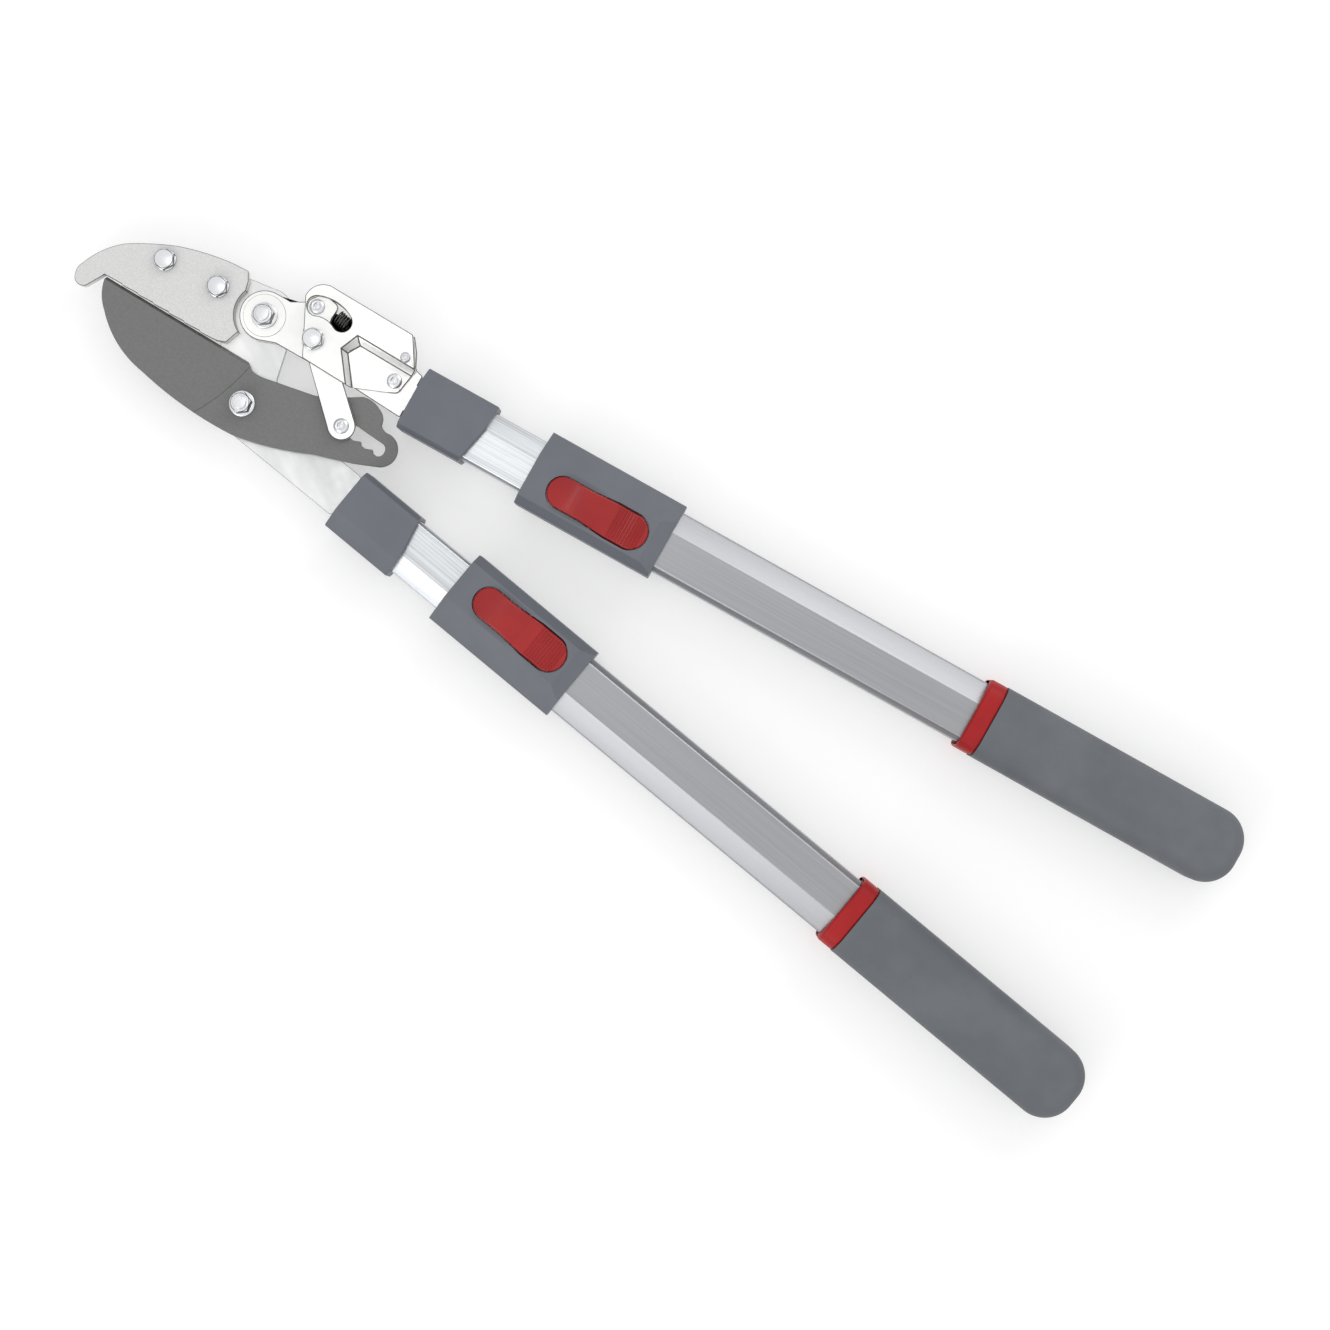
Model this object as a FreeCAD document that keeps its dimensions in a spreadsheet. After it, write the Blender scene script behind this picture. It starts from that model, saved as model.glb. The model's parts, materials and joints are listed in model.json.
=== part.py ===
"""Telescopic ratchet loppers, millimetres.

The tool lies flat on its grips: +X runs from the hooked jaw to the grips, +Y towards the
upper handle, +Z up. Outlines of the head are drawn about the main pivot, and pieces of a
handle about the head end of its collar, with x along the handle and y towards the outside.
"""
import FreeCAD
import Part
import Sketcher
import math
import os
from FreeCAD import Placement, Rotation, Vector

document = FreeCAD.newDocument("Loppers")
sheet = document.addObject("Spreadsheet::Sheet", "Sizes")

SIZES = {
    # where the pivots and the two handles stand, from the main pivot
    "blade_pivot_x": 16.0,
    "blade_pivot_y": -44.0,
    "link_pivot_x": 28.5,
    "link_pivot_y": 4.0,
    "ratchet_pin_x": 65.3,
    "ratchet_pin_y": -24.6,
    "upper_collar_x": 88.0,
    "upper_collar_y": 7.5,
    "lower_collar_x": 89.0,
    "lower_collar_y": -53.3,
    "handle_angle": 5.24,
    # sheet and bar thicknesses of the head
    "frame_thickness": 3.0,
    "anvil_thickness": 5.0,
    "arm_thickness": 4.0,
    "blade_thickness": 3.5,
    "link_thickness": 2.8,
    "cover_thickness": 1.5,
    "plate_gap": 0.3,
    "frame_drop": 5.3,
    "cover_gap": 0.4,
    # jaw
    "hook_reach": 93.4,
    "hub_radius": 13.0,
    "hub_gap": 2.9,
    "jaw_gap": 0.3,
    "saw_pitch": 9.3,
    "saw_depth": 0.5,
    "bevel_depth": 1.6,
    "ratchet_pitch": 7.4,
    "ratchet_floor": -27.2,
    # fasteners
    "running_gap": 0.05,
    "bolt_radius": 3.0,
    "bolt_flats": 10.0,
    "bolt_head": 4.0,
    "thin_nut": 3.0,
    "flange_nut": 6.0,
    "flange_radius": 6.7,
    "flange_height": 1.4,
    "pivot_bolt_radius": 3.4,
    "rivet_head": 4.0,
    "rivet_height": 1.4,
    "ratchet_pin_radius": 1.6,
    "spring_rivet_reach": 17.0,
    "spring_rivet_angle": 118.0,
    # arc window and coil spring in it
    "window_radius": 17.2,
    "window_half_width": 5.1,
    "window_start": 65.0,
    "window_end": 118.0,
    "spring_wire": 0.75,
    "spring_radius": 3.5,
    "spring_turns": 5.0,
    "spring_length": 6.9,
    "spring_start": 79.0,
    # tubes
    "tube_half_width": 17.0,
    "tube_half_height": 11.5,
    "tube_bevel_outer": 12.0,
    "tube_bevel_inner": 2.8,
    "tube_drop_outer": 7.0,
    "tube_drop_inner": 3.5,
    "tube_wall": 1.5,
    "tube_gap": 0.75,
    "slide_gap": 0.3,
    "inner_tube_start": 6.0,
    "outer_tube_start": 76.0,
    "outer_tube_length": 392.0,
    "bush_length": 10.0,
    "end_gap": 8.0,
    # collar and tang
    "collar_length": 41.0,
    "collar_wall": 0.4,
    "collar_rise": 2.5,
    "collar_slant": 6.0,
    "tang_half_width": 7.6,
    "tang_length": 56.0,
    "tang_rivet_radius": 2.0,
    "tang_rivet_place": 16.0,
    "tang_rivet_pitch": 14.0,
    # lock sleeve and lever
    "sleeve_start": 71.5,
    "sleeve_length": 78.2,
    "sleeve_wall": 3.7,
    "sleeve_slope_length": 8.0,
    "sleeve_slope_depth": 3.0,
    "lever_start": 83.2,
    "lever_length": 56.8,
    "lever_centre": -5.0,
    "lever_gap": 0.5,
    "lever_head_half": 8.3,
    "lever_thumb_half": 9.6,
    "lever_pin_radius": 1.2,
    "lever_pin_length": 20.6,
    "lever_lift": 1.1,
    "lever_crown": 3.2,
    "lever_edge_round": 1.2,
    "leaf_thickness": 0.4,
    "leaf_width": 7.0,
    "screw_radius": 2.6,
    "screw_recess": 0.3,
    "lock_hole_radius": 3.0,
    "lock_peg_radius": 2.4,
    "lock_peg_place": 90.0,
    "lock_pitch": 55.0,
    # grip
    "tube_in_grip": 129.0,
    "ring_length": 10.0,
    "ring_wall": 2.7,
    "grip_length": 145.0,
    "grip_wall": 3.0,
    "grip_rise": 4.5,
    "grip_end_round": 17.0,
    "grip_edge_round": 9.0,
}

for row, (name, number) in enumerate(SIZES.items(), start=1):
    sheet.set(f"A{row}", name)
    sheet.set(f"B{row}", str(number))
    sheet.setAlias(f"B{row}", name)
ORIGIN_ROW = len(SIZES) + 1
for row, name in enumerate(("origin_x", "origin_y"), start=ORIGIN_ROW):
    sheet.set(f"A{row}", name)
    sheet.set(f"B{row}", "0")
    sheet.setAlias(f"B{row}", name)
document.recompute()


def size(name):
    """The number in the sheet's named cell."""
    return float(sheet.get(name))


def value(formula):
    """The number that a formula on the sheet's cells comes to."""
    return float(sheet.evalExpression(formula))


# Widths and heights of the mouldings round the tubes, and where pieces end along a handle.
COLLAR_HALF_WIDTH = "(Sizes.tube_half_width + Sizes.collar_wall)"
COLLAR_HALF_HEIGHT = "(Sizes.tube_half_height + Sizes.collar_rise)"
SLEEVE_HALF_WIDTH = "(Sizes.tube_half_width + Sizes.sleeve_wall)"
RING_HALF_WIDTH = "(Sizes.tube_half_width + Sizes.ring_wall)"
GRIP_HALF_WIDTH = "(Sizes.tube_half_width + Sizes.grip_wall)"
GRIP_HALF_HEIGHT = "(Sizes.tube_half_height + Sizes.grip_rise)"
OUTER_TUBE_END = "(Sizes.outer_tube_start + Sizes.outer_tube_length)"
INNER_TUBE_END = f"({OUTER_TUBE_END} - 2 * Sizes.bush_length - Sizes.end_gap)"
RING_START = f"({OUTER_TUBE_END} - Sizes.tube_in_grip - Sizes.ring_length)"
GRIP_START = f"({RING_START} + Sizes.ring_length)"

# Heights of the head's layers above the ground, stacked up from the frame plate's underside,
# whose tang has the least room in the tube.
TUBE_LEVEL = GRIP_HALF_HEIGHT
FRAME_LEVEL = f"({TUBE_LEVEL} - Sizes.frame_drop)"
ARM_LEVEL = f"({FRAME_LEVEL} + Sizes.frame_thickness + Sizes.plate_gap)"
ARM_TOP = f"({ARM_LEVEL} + Sizes.arm_thickness)"
ANVIL_LEVEL = f"({FRAME_LEVEL} + Sizes.frame_thickness)"
ANVIL_TOP = f"({ANVIL_LEVEL} + Sizes.anvil_thickness)"
BLADE_TOP = f"({ARM_LEVEL} + Sizes.blade_thickness)"
LINK_LEVEL = f"({ARM_TOP} + Sizes.plate_gap)"
LINK_TOP = f"({LINK_LEVEL} + Sizes.link_thickness)"
PLATEAU_LEVEL = f"({LINK_TOP} + Sizes.cover_gap)"
PLATEAU_TOP = f"({PLATEAU_LEVEL} + Sizes.cover_thickness)"

nodes = []
SIDES = {"upper": 1, "lower": -1}


# ---------------------------------------------------------------- drawing helpers

def corner(x, y, radius=0.0):
    """A corner of an outline, rounded where a radius is given."""
    return ("corner", x, y, radius)


def via(x, y):
    """A point that the next stretch of an outline passes through as an arc."""
    return ("via", x, y)


def outline_edges(items):
    """Lines and arcs of a closed outline given as corners and via points."""
    corners = []
    passing = {}
    for item in items:
        if item[0] == "via":
            passing[len(corners) - 1] = Vector(item[1], item[2], 0)
        else:
            corners.append((Vector(item[1], item[2], 0), item[3]))
    edges = []
    enter = []
    leave = []
    for index, (here, radius) in enumerate(corners):
        if radius == 0:
            enter.append(here)
            leave.append(here)
            continue
        back = (corners[index - 1][0] - here).normalize()
        ahead = (corners[(index + 1) % len(corners)][0] - here).normalize()
        half = back.getAngle(ahead) / 2
        reach = radius / math.tan(half)
        inward = (back + ahead).normalize()
        enter.append(here + back * reach)
        leave.append(here + ahead * reach)
        edges.append(Part.Arc(enter[-1], here + inward * (radius / math.sin(half) - radius), leave[-1]))
    for index in range(len(corners)):
        start = leave[index]
        end = enter[(index + 1) % len(corners)]
        if index in passing:
            edges.append(Part.Arc(start, passing[index], end))
        elif (end - start).Length > 0.001:
            edges.append(Part.LineSegment(start, end))
    return edges


def polar(x, y, radius, degrees):
    """A point at a radius and an angle about a centre."""
    angle = math.radians(degrees)
    return x + radius * math.cos(angle), y + radius * math.sin(angle)


def arc_slot(x, y, radius, half_width, start, end):
    """Outline of a slot with round ends that runs along an arc about a centre."""
    middle = (start + end) / 2
    tip = math.degrees(half_width / radius)
    return [
        corner(*polar(x, y, radius + half_width, start)),
        via(*polar(x, y, radius + half_width, middle)),
        corner(*polar(x, y, radius + half_width, end)),
        via(*polar(x, y, radius, end + tip)),
        corner(*polar(x, y, radius - half_width, end)),
        via(*polar(x, y, radius - half_width, middle)),
        corner(*polar(x, y, radius - half_width, start)),
        via(*polar(x, y, radius, start - tip)),
    ]


def mirrored(items, side):
    """An outline with its y turned over for the lower handle."""
    return [(item[0], item[1], item[2] * side) + tuple(item[3:]) for item in items]


def origin_plane(body, role):
    """One of the body's own origin planes."""
    return next(feature for feature in body.Origin.OriginFeatures if feature.Role == role)


def new_body(label):
    """An empty body for one sub-part."""
    body = document.addObject("PartDesign::Body", label)
    body.Label = label
    nodes.append(body)
    return body


def draw(body, role, items=(), offset="0", circles=()):
    """A sketch on an origin plane of the body: one outline and any round holes."""
    sketch = body.newObject("Sketcher::SketchObject", f"{body.Label}_sketch")
    sketch.AttachmentSupport = [(origin_plane(body, role), "")]
    sketch.MapMode = "FlatFace"
    sketch.setExpression("AttachmentOffset.Base.z", offset)
    for edge in outline_edges(items):
        sketch.addGeometry(edge, False)
    for x, y, radius in circles:
        ring = sketch.addGeometry(Part.Circle(Vector(x, y, 0), Vector(0, 0, 1), 1.0), False)
        bound = sketch.addConstraint(Sketcher.Constraint("Radius", ring, 1.0))
        sketch.setExpression(f"Constraints[{bound}]", radius)
    return sketch


def pad(body, sketch, length):
    """Material from the sketch along its normal."""
    feature = body.newObject("PartDesign::Pad", f"{body.Label}_pad")
    feature.Profile = sketch
    feature.setExpression("Length", length)
    document.recompute()
    return feature


def pocket(body, sketch, length, along_normal=False):
    """A cut from the sketch, against its normal unless along_normal is set."""
    before = body.Shape.Volume
    feature = body.newObject("PartDesign::Pocket", f"{body.Label}_pocket")
    feature.Profile = sketch
    feature.setExpression("Length", length)
    feature.Reversed = along_normal
    document.recompute()
    if not body.Shape.Volume < before:
        raise RuntimeError(f"a pocket of {body.Label} cuts nothing")
    return feature


def round_edges(body, radius, wanted):
    """A fillet on the edges of the body that the test picks."""
    base = body.Tip
    names = [f"Edge{index}" for index, edge in enumerate(base.Shape.Edges, start=1) if wanted(edge)]
    feature = body.newObject("PartDesign::Fillet", f"{body.Label}_fillet")
    feature.Base = (base, names)
    feature.setExpression("Radius", radius)
    document.recompute()
    return feature


def place(item, side_name=None, height="0"):
    """Stand a sub-part in the tool's frame, on the head or on one of the handles."""
    if side_name is None:
        item.setExpression("Placement.Base.x", "-Sizes.origin_x")
        item.setExpression("Placement.Base.y", "-Sizes.origin_y")
    else:
        angle = SIDES[side_name] * size("handle_angle")
        item.Placement = Placement(Vector(), Rotation(Vector(0, 0, 1), angle))
        item.setExpression("Placement.Base.x", f"Sizes.{side_name}_collar_x - Sizes.origin_x")
        item.setExpression("Placement.Base.y", f"Sizes.{side_name}_collar_y - Sizes.origin_y")
    item.setExpression("Placement.Base.z", height)


def handle_point(side_name, along, outward):
    """A point of a handle's own frame, in the head's frame."""
    side = SIDES[side_name]
    angle = math.radians(side * size("handle_angle"))
    x = along * math.cos(angle) - side * outward * math.sin(angle)
    y = along * math.sin(angle) + side * outward * math.cos(angle)
    return size(f"{side_name}_collar_x") + x, size(f"{side_name}_collar_y") + y


def plate(label, level, thickness, items, circles=()):
    """A flat plate of the head, from its outline and its round holes."""
    body = new_body(label)
    pad(body, draw(body, "XY_Plane", items, circles=circles), thickness)
    place(body, height=level)
    return body


def cylinder(radius, height, x="0", y="0", level="0"):
    """An upright cylinder."""
    item = document.addObject("Part::Cylinder", "cylinder")
    item.setExpression("Radius", radius)
    item.setExpression("Height", height)
    item.setExpression("Placement.Base.x", x)
    item.setExpression("Placement.Base.y", y)
    item.setExpression("Placement.Base.z", level)
    return item


def cone(bottom, top, height, x="0", y="0", level="0"):
    """An upright cone."""
    item = document.addObject("Part::Cone", "cone")
    item.setExpression("Radius1", bottom)
    item.setExpression("Radius2", top)
    item.setExpression("Height", height)
    item.setExpression("Placement.Base.x", x)
    item.setExpression("Placement.Base.y", y)
    item.setExpression("Placement.Base.z", level)
    return item


def joined(*items):
    """Several solids made one."""
    item = document.addObject("Part::MultiFuse", "joined")
    item.Shapes = list(items)
    return item


def cut(base, tool):
    """One solid less another."""
    item = document.addObject("Part::Cut", "cut")
    item.Base = base
    item.Tool = tool
    return item


def hex_block(height, x, y, level, upside_down=False, turn=0.0):
    """A hexagon with the rounded-off top of a bolt head; upside_down rounds its bottom."""
    prism = document.addObject("Part::Prism", "hexagon")
    prism.Polygon = 6
    prism.Placement = Placement(Vector(), Rotation(Vector(0, 0, 1), turn))
    prism.setExpression("Circumradius", "Sizes.bolt_flats / sqrt(3)")
    prism.setExpression("Height", height)
    prism.setExpression("Placement.Base.x", x)
    prism.setExpression("Placement.Base.y", y)
    prism.setExpression("Placement.Base.z", level)
    wide = f"Sizes.bolt_flats * 0.48 + {height} * 1.73"
    narrow = "Sizes.bolt_flats * 0.48"
    crown = cone(wide, narrow, height, x, y, level)
    if upside_down:
        crown.setExpression("Radius1", narrow)
        crown.setExpression("Radius2", wide)
    item = document.addObject("Part::MultiCommon", "hex_head")
    item.Shapes = [prism, crown]
    return item


def node(label, item, side_name=None, height="0"):
    """Name a finished solid as a sub-part and stand it in its place."""
    item.Label = label
    nodes.append(item)
    place(item, side_name, height)


def group(label, items, side_name=None, height="0"):
    """Several separate solids kept as one sub-part."""
    item = document.addObject("Part::Compound", label)
    item.Links = items
    node(label, item, side_name, height)


# ---------------------------------------------------------------- jaw

# The cutting edge of the closed blade, from its tip to its heel.
EDGE_TIP = (-79.4, -29.46)
EDGE_HEEL = (6.0, -24.4)
EDGE_SLOPE = (EDGE_HEEL[1] - EDGE_TIP[1]) / (EDGE_HEEL[0] - EDGE_TIP[0])


def edge_height(x):
    """Height of the closed blade's cutting edge."""
    return EDGE_TIP[1] + EDGE_SLOPE * (x - EDGE_TIP[0])


def saw_edge(start, end):
    """Low saw teeth above the closed blade's edge, from right to left."""
    items = []
    low = size("jaw_gap")
    high = low + size("saw_depth")
    x = start
    while x - size("saw_pitch") > end:
        following = x - size("saw_pitch")
        items.append(corner(x, edge_height(x) + high))
        items.append(corner(following + 0.6, edge_height(following) + low))
        x = following
    items.append(corner(x, edge_height(x) + high))
    return items


ANVIL_BOLTS = [(-58.3, -5.3), (-28.0, -1.3)]


def make_anvil():
    """Hooked anvil: a thick plate with a saw-toothed lower edge and a hook past the blade's tip."""
    reach = size("hook_reach")
    around_hub = size("hub_radius") + size("hub_gap")
    items = [corner(-79.9, -29.1)]
    items += [
        corner(-80.8, -31.4),
        corner(-84.4, -39.0),
        via(-88.0, -40.9),
        corner(-92.6, -37.2),
        via(-reach, -34.0),
        corner(-92.5, -30.4),
        via(-88.4, -20.6),
        corner(-80.0, -10.0),
        via(-70.0, -3.1),
        corner(-57.5, 4.0),
        via(-43.0, 9.4),
        corner(-28.0, 13.1),
        corner(-19.6, 14.2, 1.0),
        corner(-16.6, 9.6),
        corner(*polar(0, 0, around_hub, 162.0)),
        via(*polar(0, 0, around_hub, 204.0)),
        corner(*polar(0, 0, around_hub, 246.0)),
        corner(-8.6, -22.6, 1.0),
        corner(-12.4, -24.3),
    ]
    items += saw_edge(-14.0, -78.6)
    holes = [(x, y, "Sizes.bolt_radius + Sizes.running_gap") for x, y in ANVIL_BOLTS]
    plate("anvil", ANVIL_LEVEL, "Sizes.anvil_thickness", items, holes)


def make_frame_plate():
    """Lower frame plate: carries the anvil, both pivots and the lower handle's tang."""
    tang = size("tang_half_width")
    wide = 12.6
    shoulder = -2.0
    items = [
        corner(*polar(0, 0, 15.2, 40.0)),
        via(*polar(0, 0, 15.2, 75.0)),
        corner(*polar(0, 0, 15.2, 110.0)),
        corner(-40.0, 7.0, 6.0),
        corner(-66.0, -4.0, 6.0),
        corner(-66.0, -14.0, 6.0),
        corner(-30.0, -18.0, 8.0),
        corner(-12.0, -22.0, 6.0),
        corner(-8.0, -42.0, 8.0),
        corner(4.0, -58.5, 8.0),
        corner(24.0, -60.4, 10.0),
        corner(*handle_point("lower", -14.0, wide), 4.0),
        corner(*handle_point("lower", shoulder, wide), 2.0),
        corner(*handle_point("lower", shoulder, tang)),
        corner(*handle_point("lower", size("tang_length"), tang), 3.0),
        corner(*handle_point("lower", size("tang_length"), -tang), 3.0),
        corner(*handle_point("lower", shoulder, -tang)),
        corner(*handle_point("lower", shoulder, -wide), 2.0),
        corner(*handle_point("lower", -18.0, -wide), 14.0),
        corner(40.0, -36.0, 14.0),
        corner(23.0, -24.0, 4.0),
        corner(18.6, -9.0, 3.0),
    ]
    holes = [(x, y, "Sizes.bolt_radius + Sizes.running_gap") for x, y in ANVIL_BOLTS]
    holes += [
        (0, 0, "Sizes.pivot_bolt_radius"),
        (size("blade_pivot_x"), size("blade_pivot_y"), "Sizes.pivot_bolt_radius"),
    ]
    holes += tang_holes("lower")
    plate("lower_frame_plate", FRAME_LEVEL, "Sizes.frame_thickness", items, holes)


def tang_rivet_places():
    """Where the two rivets of a tang lie along the handle."""
    first = size("tang_rivet_place")
    return [first, first + size("tang_rivet_pitch")]


def tang_holes(side_name):
    """Rivet holes of a tang, in the head's frame."""
    radius = "Sizes.tang_rivet_radius"
    return [(*handle_point(side_name, along, 0), radius) for along in tang_rivet_places()]


RATCHET_TEETH = 3


def ratchet_slot():
    """Slot in the blade's tail, its lower side stepped into four notches."""
    left = 63.2
    floor = size("ratchet_floor")
    items = [corner(left, -24.9), via(left + 0.7, -26.6), corner(left + 2.0, floor)]
    for tooth in range(RATCHET_TEETH):
        start = left + 3.4 + tooth * size("ratchet_pitch")
        items.append(corner(start, floor))
        items.append(corner(start + 3.4, floor + 1.7, 0.5))
        items.append(corner(start + 4.5, floor + 0.2))
    items += [
        corner(88.3, floor + 0.1),
        via(90.2, -25.6),
        corner(90.5, -23.2),
        via(89.3, -20.8),
        corner(87.0, -20.1),
        corner(74.0, -20.1),
        via(67.5, -20.9),
        corner(left, -24.0),
    ]
    return items


def make_blade():
    """Blade: straight edge ground on its upper side, round belly and a notched tail."""
    belly = [
        corner(60.0, -45.0),
        via(40.0, -54.3),
        corner(20.0, -60.4),
        via(-8.0, -61.9),
        corner(-36.0, -59.5),
        via(-57.0, -53.6),
        corner(-70.0, -44.4),
        via(-76.3, -37.4),
    ]
    tail = [
        corner(9.6, -27.0),
        via(14.0, -27.2),
        corner(20.0, -26.0),
        corner(45.0, -19.2, 10.0),
        corner(60.0, -9.8),
        corner(65.2, -5.9),
        via(70.6, -4.9),
        corner(75.6, -6.2),
        via(79.5, -8.7),
        corner(81.3, -12.6),
        via(84.0, -14.0),
        corner(88.0, -13.9),
        via(96.8, -22.6),
        corner(92.2, -31.2),
        corner(80.0, -37.3),
    ]
    items = [corner(*EDGE_TIP), corner(*EDGE_HEEL)] + tail + belly
    body = new_body("blade")
    hole = "Sizes.pivot_bolt_radius + Sizes.running_gap"
    pivot = (size("blade_pivot_x"), size("blade_pivot_y"), hole)
    sketch = draw(body, "XY_Plane", items, circles=[pivot])
    for edge in outline_edges(ratchet_slot()):
        sketch.addGeometry(edge, False)
    pad(body, sketch, "Sizes.blade_thickness")
    place(body, height=ARM_LEVEL)


def grind_blade():
    """The ground bevel along the blade's edge, a thin wedge taken off its upper side."""
    body = document.getObject("blade")
    depth = size("bevel_depth")
    top = size("blade_thickness")
    # drawn across the blade at its tip and swept along the edge's own direction
    direction = Vector(EDGE_HEEL[0] - EDGE_TIP[0], EDGE_HEEL[1] - EDGE_TIP[1], 0)
    turn = math.degrees(math.atan2(direction.y, direction.x))
    sketch = body.newObject("Sketcher::SketchObject", "blade_bevel")
    sketch.AttachmentSupport = [(origin_plane(body, "YZ_Plane"), "")]
    sketch.MapMode = "FlatFace"
    along_edge = Rotation(Vector(0, 1, 0), turn)
    sketch.AttachmentOffset = Placement(Vector(EDGE_TIP[1], 0, EDGE_TIP[0]), along_edge)
    wedge = [corner(0.1, 0.5), corner(0.1, top + 1), corner(-depth, top + 1), corner(-depth, top)]
    for edge in outline_edges(wedge):
        sketch.addGeometry(edge, False)
    pocket(body, sketch, str(direction.Length + 1.0), along_normal=True)


# ---------------------------------------------------------------- upper arm

def window():
    """Arc window about the link's pivot."""
    return arc_slot(
        size("link_pivot_x"),
        size("link_pivot_y"),
        size("window_radius"),
        size("window_half_width"),
        size("window_start"),
        size("window_end"),
    )


COVER_RIVETS = [(74.5, 10.0), (73.0, 23.0)]


def make_arm_plate():
    """Upper arm plate: round hub on the main pivot, wide back under the cover, tang in the collar."""
    tang = size("tang_half_width")
    hub = size("hub_radius")
    shoulder = -2.0
    items = [
        corner(*polar(0, 0, hub, 95.0)),
        via(*polar(0, 0, hub, 190.0)),
        corner(*polar(0, 0, hub, 300.0)),
        corner(12.6, -8.5, 4.0),
        corner(60.0, -4.7),
        corner(*handle_point("upper", shoulder, -11.3), 1.0),
        corner(*handle_point("upper", shoulder, -tang)),
        corner(*handle_point("upper", size("tang_length"), -tang), 3.0),
        corner(*handle_point("upper", size("tang_length"), tang), 3.0),
        corner(*handle_point("upper", shoulder, tang)),
        corner(*handle_point("upper", shoulder, 13.0), 1.0),
        corner(80.2, 21.0, 3.0),
        corner(75.6, 28.6, 1.0),
        corner(70.2, 34.6, 1.0),
        corner(26.0, 31.2, 8.0),
        corner(15.6, 27.6, 6.0),
        corner(13.6, 18.0, 4.0),
        corner(7.0, 13.6),
    ]
    body = new_body("upper_arm_plate")
    pivots = [
        (0, 0, "Sizes.pivot_bolt_radius + Sizes.running_gap"),
        (size("link_pivot_x"), size("link_pivot_y"), "Sizes.bolt_radius"),
    ]
    rivets = [(x, y, "Sizes.tang_rivet_radius") for x, y in COVER_RIVETS]
    sketch = draw(body, "XY_Plane", items, circles=pivots + rivets + tang_holes("upper"))
    for edge in outline_edges(window()):
        sketch.addGeometry(edge, False)
    pad(body, sketch, "Sizes.arm_thickness")
    place(body, height=ARM_LEVEL)


def step_line(shift, reach):
    """The pressed step of the cover: from the lower edge round its corner to the right edge."""
    return [
        (56.1 + shift + reach * 0.88, -6.5 - reach),
        (43.1 + shift, 8.2),
        (46.4 + shift, 18.4 - shift),
        (95.0, 21.4 - shift),
    ]


def make_cover():
    """Pressed cover: a raised pan over the link, stepped down to a riveted flat at its right."""
    rise = size("plate_gap") + size("link_thickness") + size("cover_gap")
    sheet_metal = size("cover_thickness")
    slope = 3.4
    skin = 1.3
    items = [
        corner(29.3, -7.1, 1.0),
        corner(57.3, -5.8, 1.0),
        corner(79.6, 5.5, 4.0),
        corner(80.7, 20.2, 2.0),
        corner(69.5, 34.8, 1.5),
        corner(23.0, 31.9),
        via(14.9, 28.3),
        corner(12.6, 20.2),
    ]
    body = new_body("cover_plate")
    pivot = (size("link_pivot_x"), size("link_pivot_y"), "Sizes.bolt_radius")
    rivets = [(x, y, "Sizes.tang_rivet_radius") for x, y in COVER_RIVETS]
    sketch = draw(body, "XY_Plane", items, circles=[pivot] + rivets)
    for edge in outline_edges(window()):
        sketch.addGeometry(edge, False)
    height = "Sizes.plate_gap + Sizes.link_thickness + Sizes.cover_gap + Sizes.cover_thickness"
    pad(body, sketch, height)
    right = [(95.0, -30.0), (80.0, -30.0)]
    left = [(95.0, 60.0), (0.0, 60.0), (-10.0, -30.0)]
    loft_cut(body, step_line(0, 10) + right, step_line(slope, 10) + right, sheet_metal, rise + sheet_metal)
    loft_cut(body, step_line(-skin, 10) + left, step_line(slope - skin, 10) + left, 0, rise)
    place(body, height=ARM_TOP)


def loft_cut(body, upper, lower, low, high):
    """A cut with sloping sides between two outlines at two heights."""
    before = body.Shape.Volume
    sections = []
    for points, level in ((upper, high), (lower, low)):
        items = [corner(x, y) for x, y in points]
        sections.append(draw(body, "XY_Plane", items, offset=str(level)))
    feature = body.newObject("PartDesign::SubtractiveLoft", f"{body.Label}_step")
    feature.Profile = sections[0]
    feature.Sections = [sections[1]]
    feature.Ruled = True
    document.recompute()
    if not body.Shape.Volume < before:
        raise RuntimeError(f"a sloping cut of {body.Label} cuts nothing")


def spring_rivet_place():
    """Where the spring's rivet stands on the link's lobe."""
    reach = size("spring_rivet_reach")
    return polar(size("link_pivot_x"), size("link_pivot_y"), reach, size("spring_rivet_angle"))


def make_link():
    """Ratchet link: a bell crank from the blade's tail past its pivot to the lobe in the window."""
    pin_x = size("ratchet_pin_x")
    pin_y = size("ratchet_pin_y")
    pivot_x = size("link_pivot_x")
    pivot_y = size("link_pivot_y")
    end_round = 7.2
    heading = math.degrees(math.atan2(pin_y - pivot_y, pin_x - pivot_x))
    items = [
        corner(*polar(pin_x, pin_y, end_round, heading - 90)),
        via(*polar(pin_x, pin_y, end_round, heading)),
        corner(*polar(pin_x, pin_y, end_round, heading + 90)),
        corner(pivot_x + 4.0, pivot_y + 7.0, 4.0),
        corner(pivot_x + 1.6, pivot_y + 14.0, 3.0),
        corner(pivot_x + 1.6, pivot_y + 21.5, 3.0),
        corner(pivot_x - 9.0, pivot_y + 22.6, 5.0),
        corner(pivot_x - 13.8, pivot_y + 15.2, 4.0),
        corner(pivot_x - 5.4, pivot_y - 2.8, 5.0),
    ]
    holes = [
        (pivot_x, pivot_y, "Sizes.bolt_radius + Sizes.running_gap"),
        (pin_x, pin_y, "Sizes.ratchet_pin_radius"),
        (*spring_rivet_place(), "Sizes.ratchet_pin_radius"),
    ]
    plate("ratchet_link", LINK_LEVEL, "Sizes.link_thickness", items, holes)


# ---------------------------------------------------------------- fasteners of the head

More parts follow.
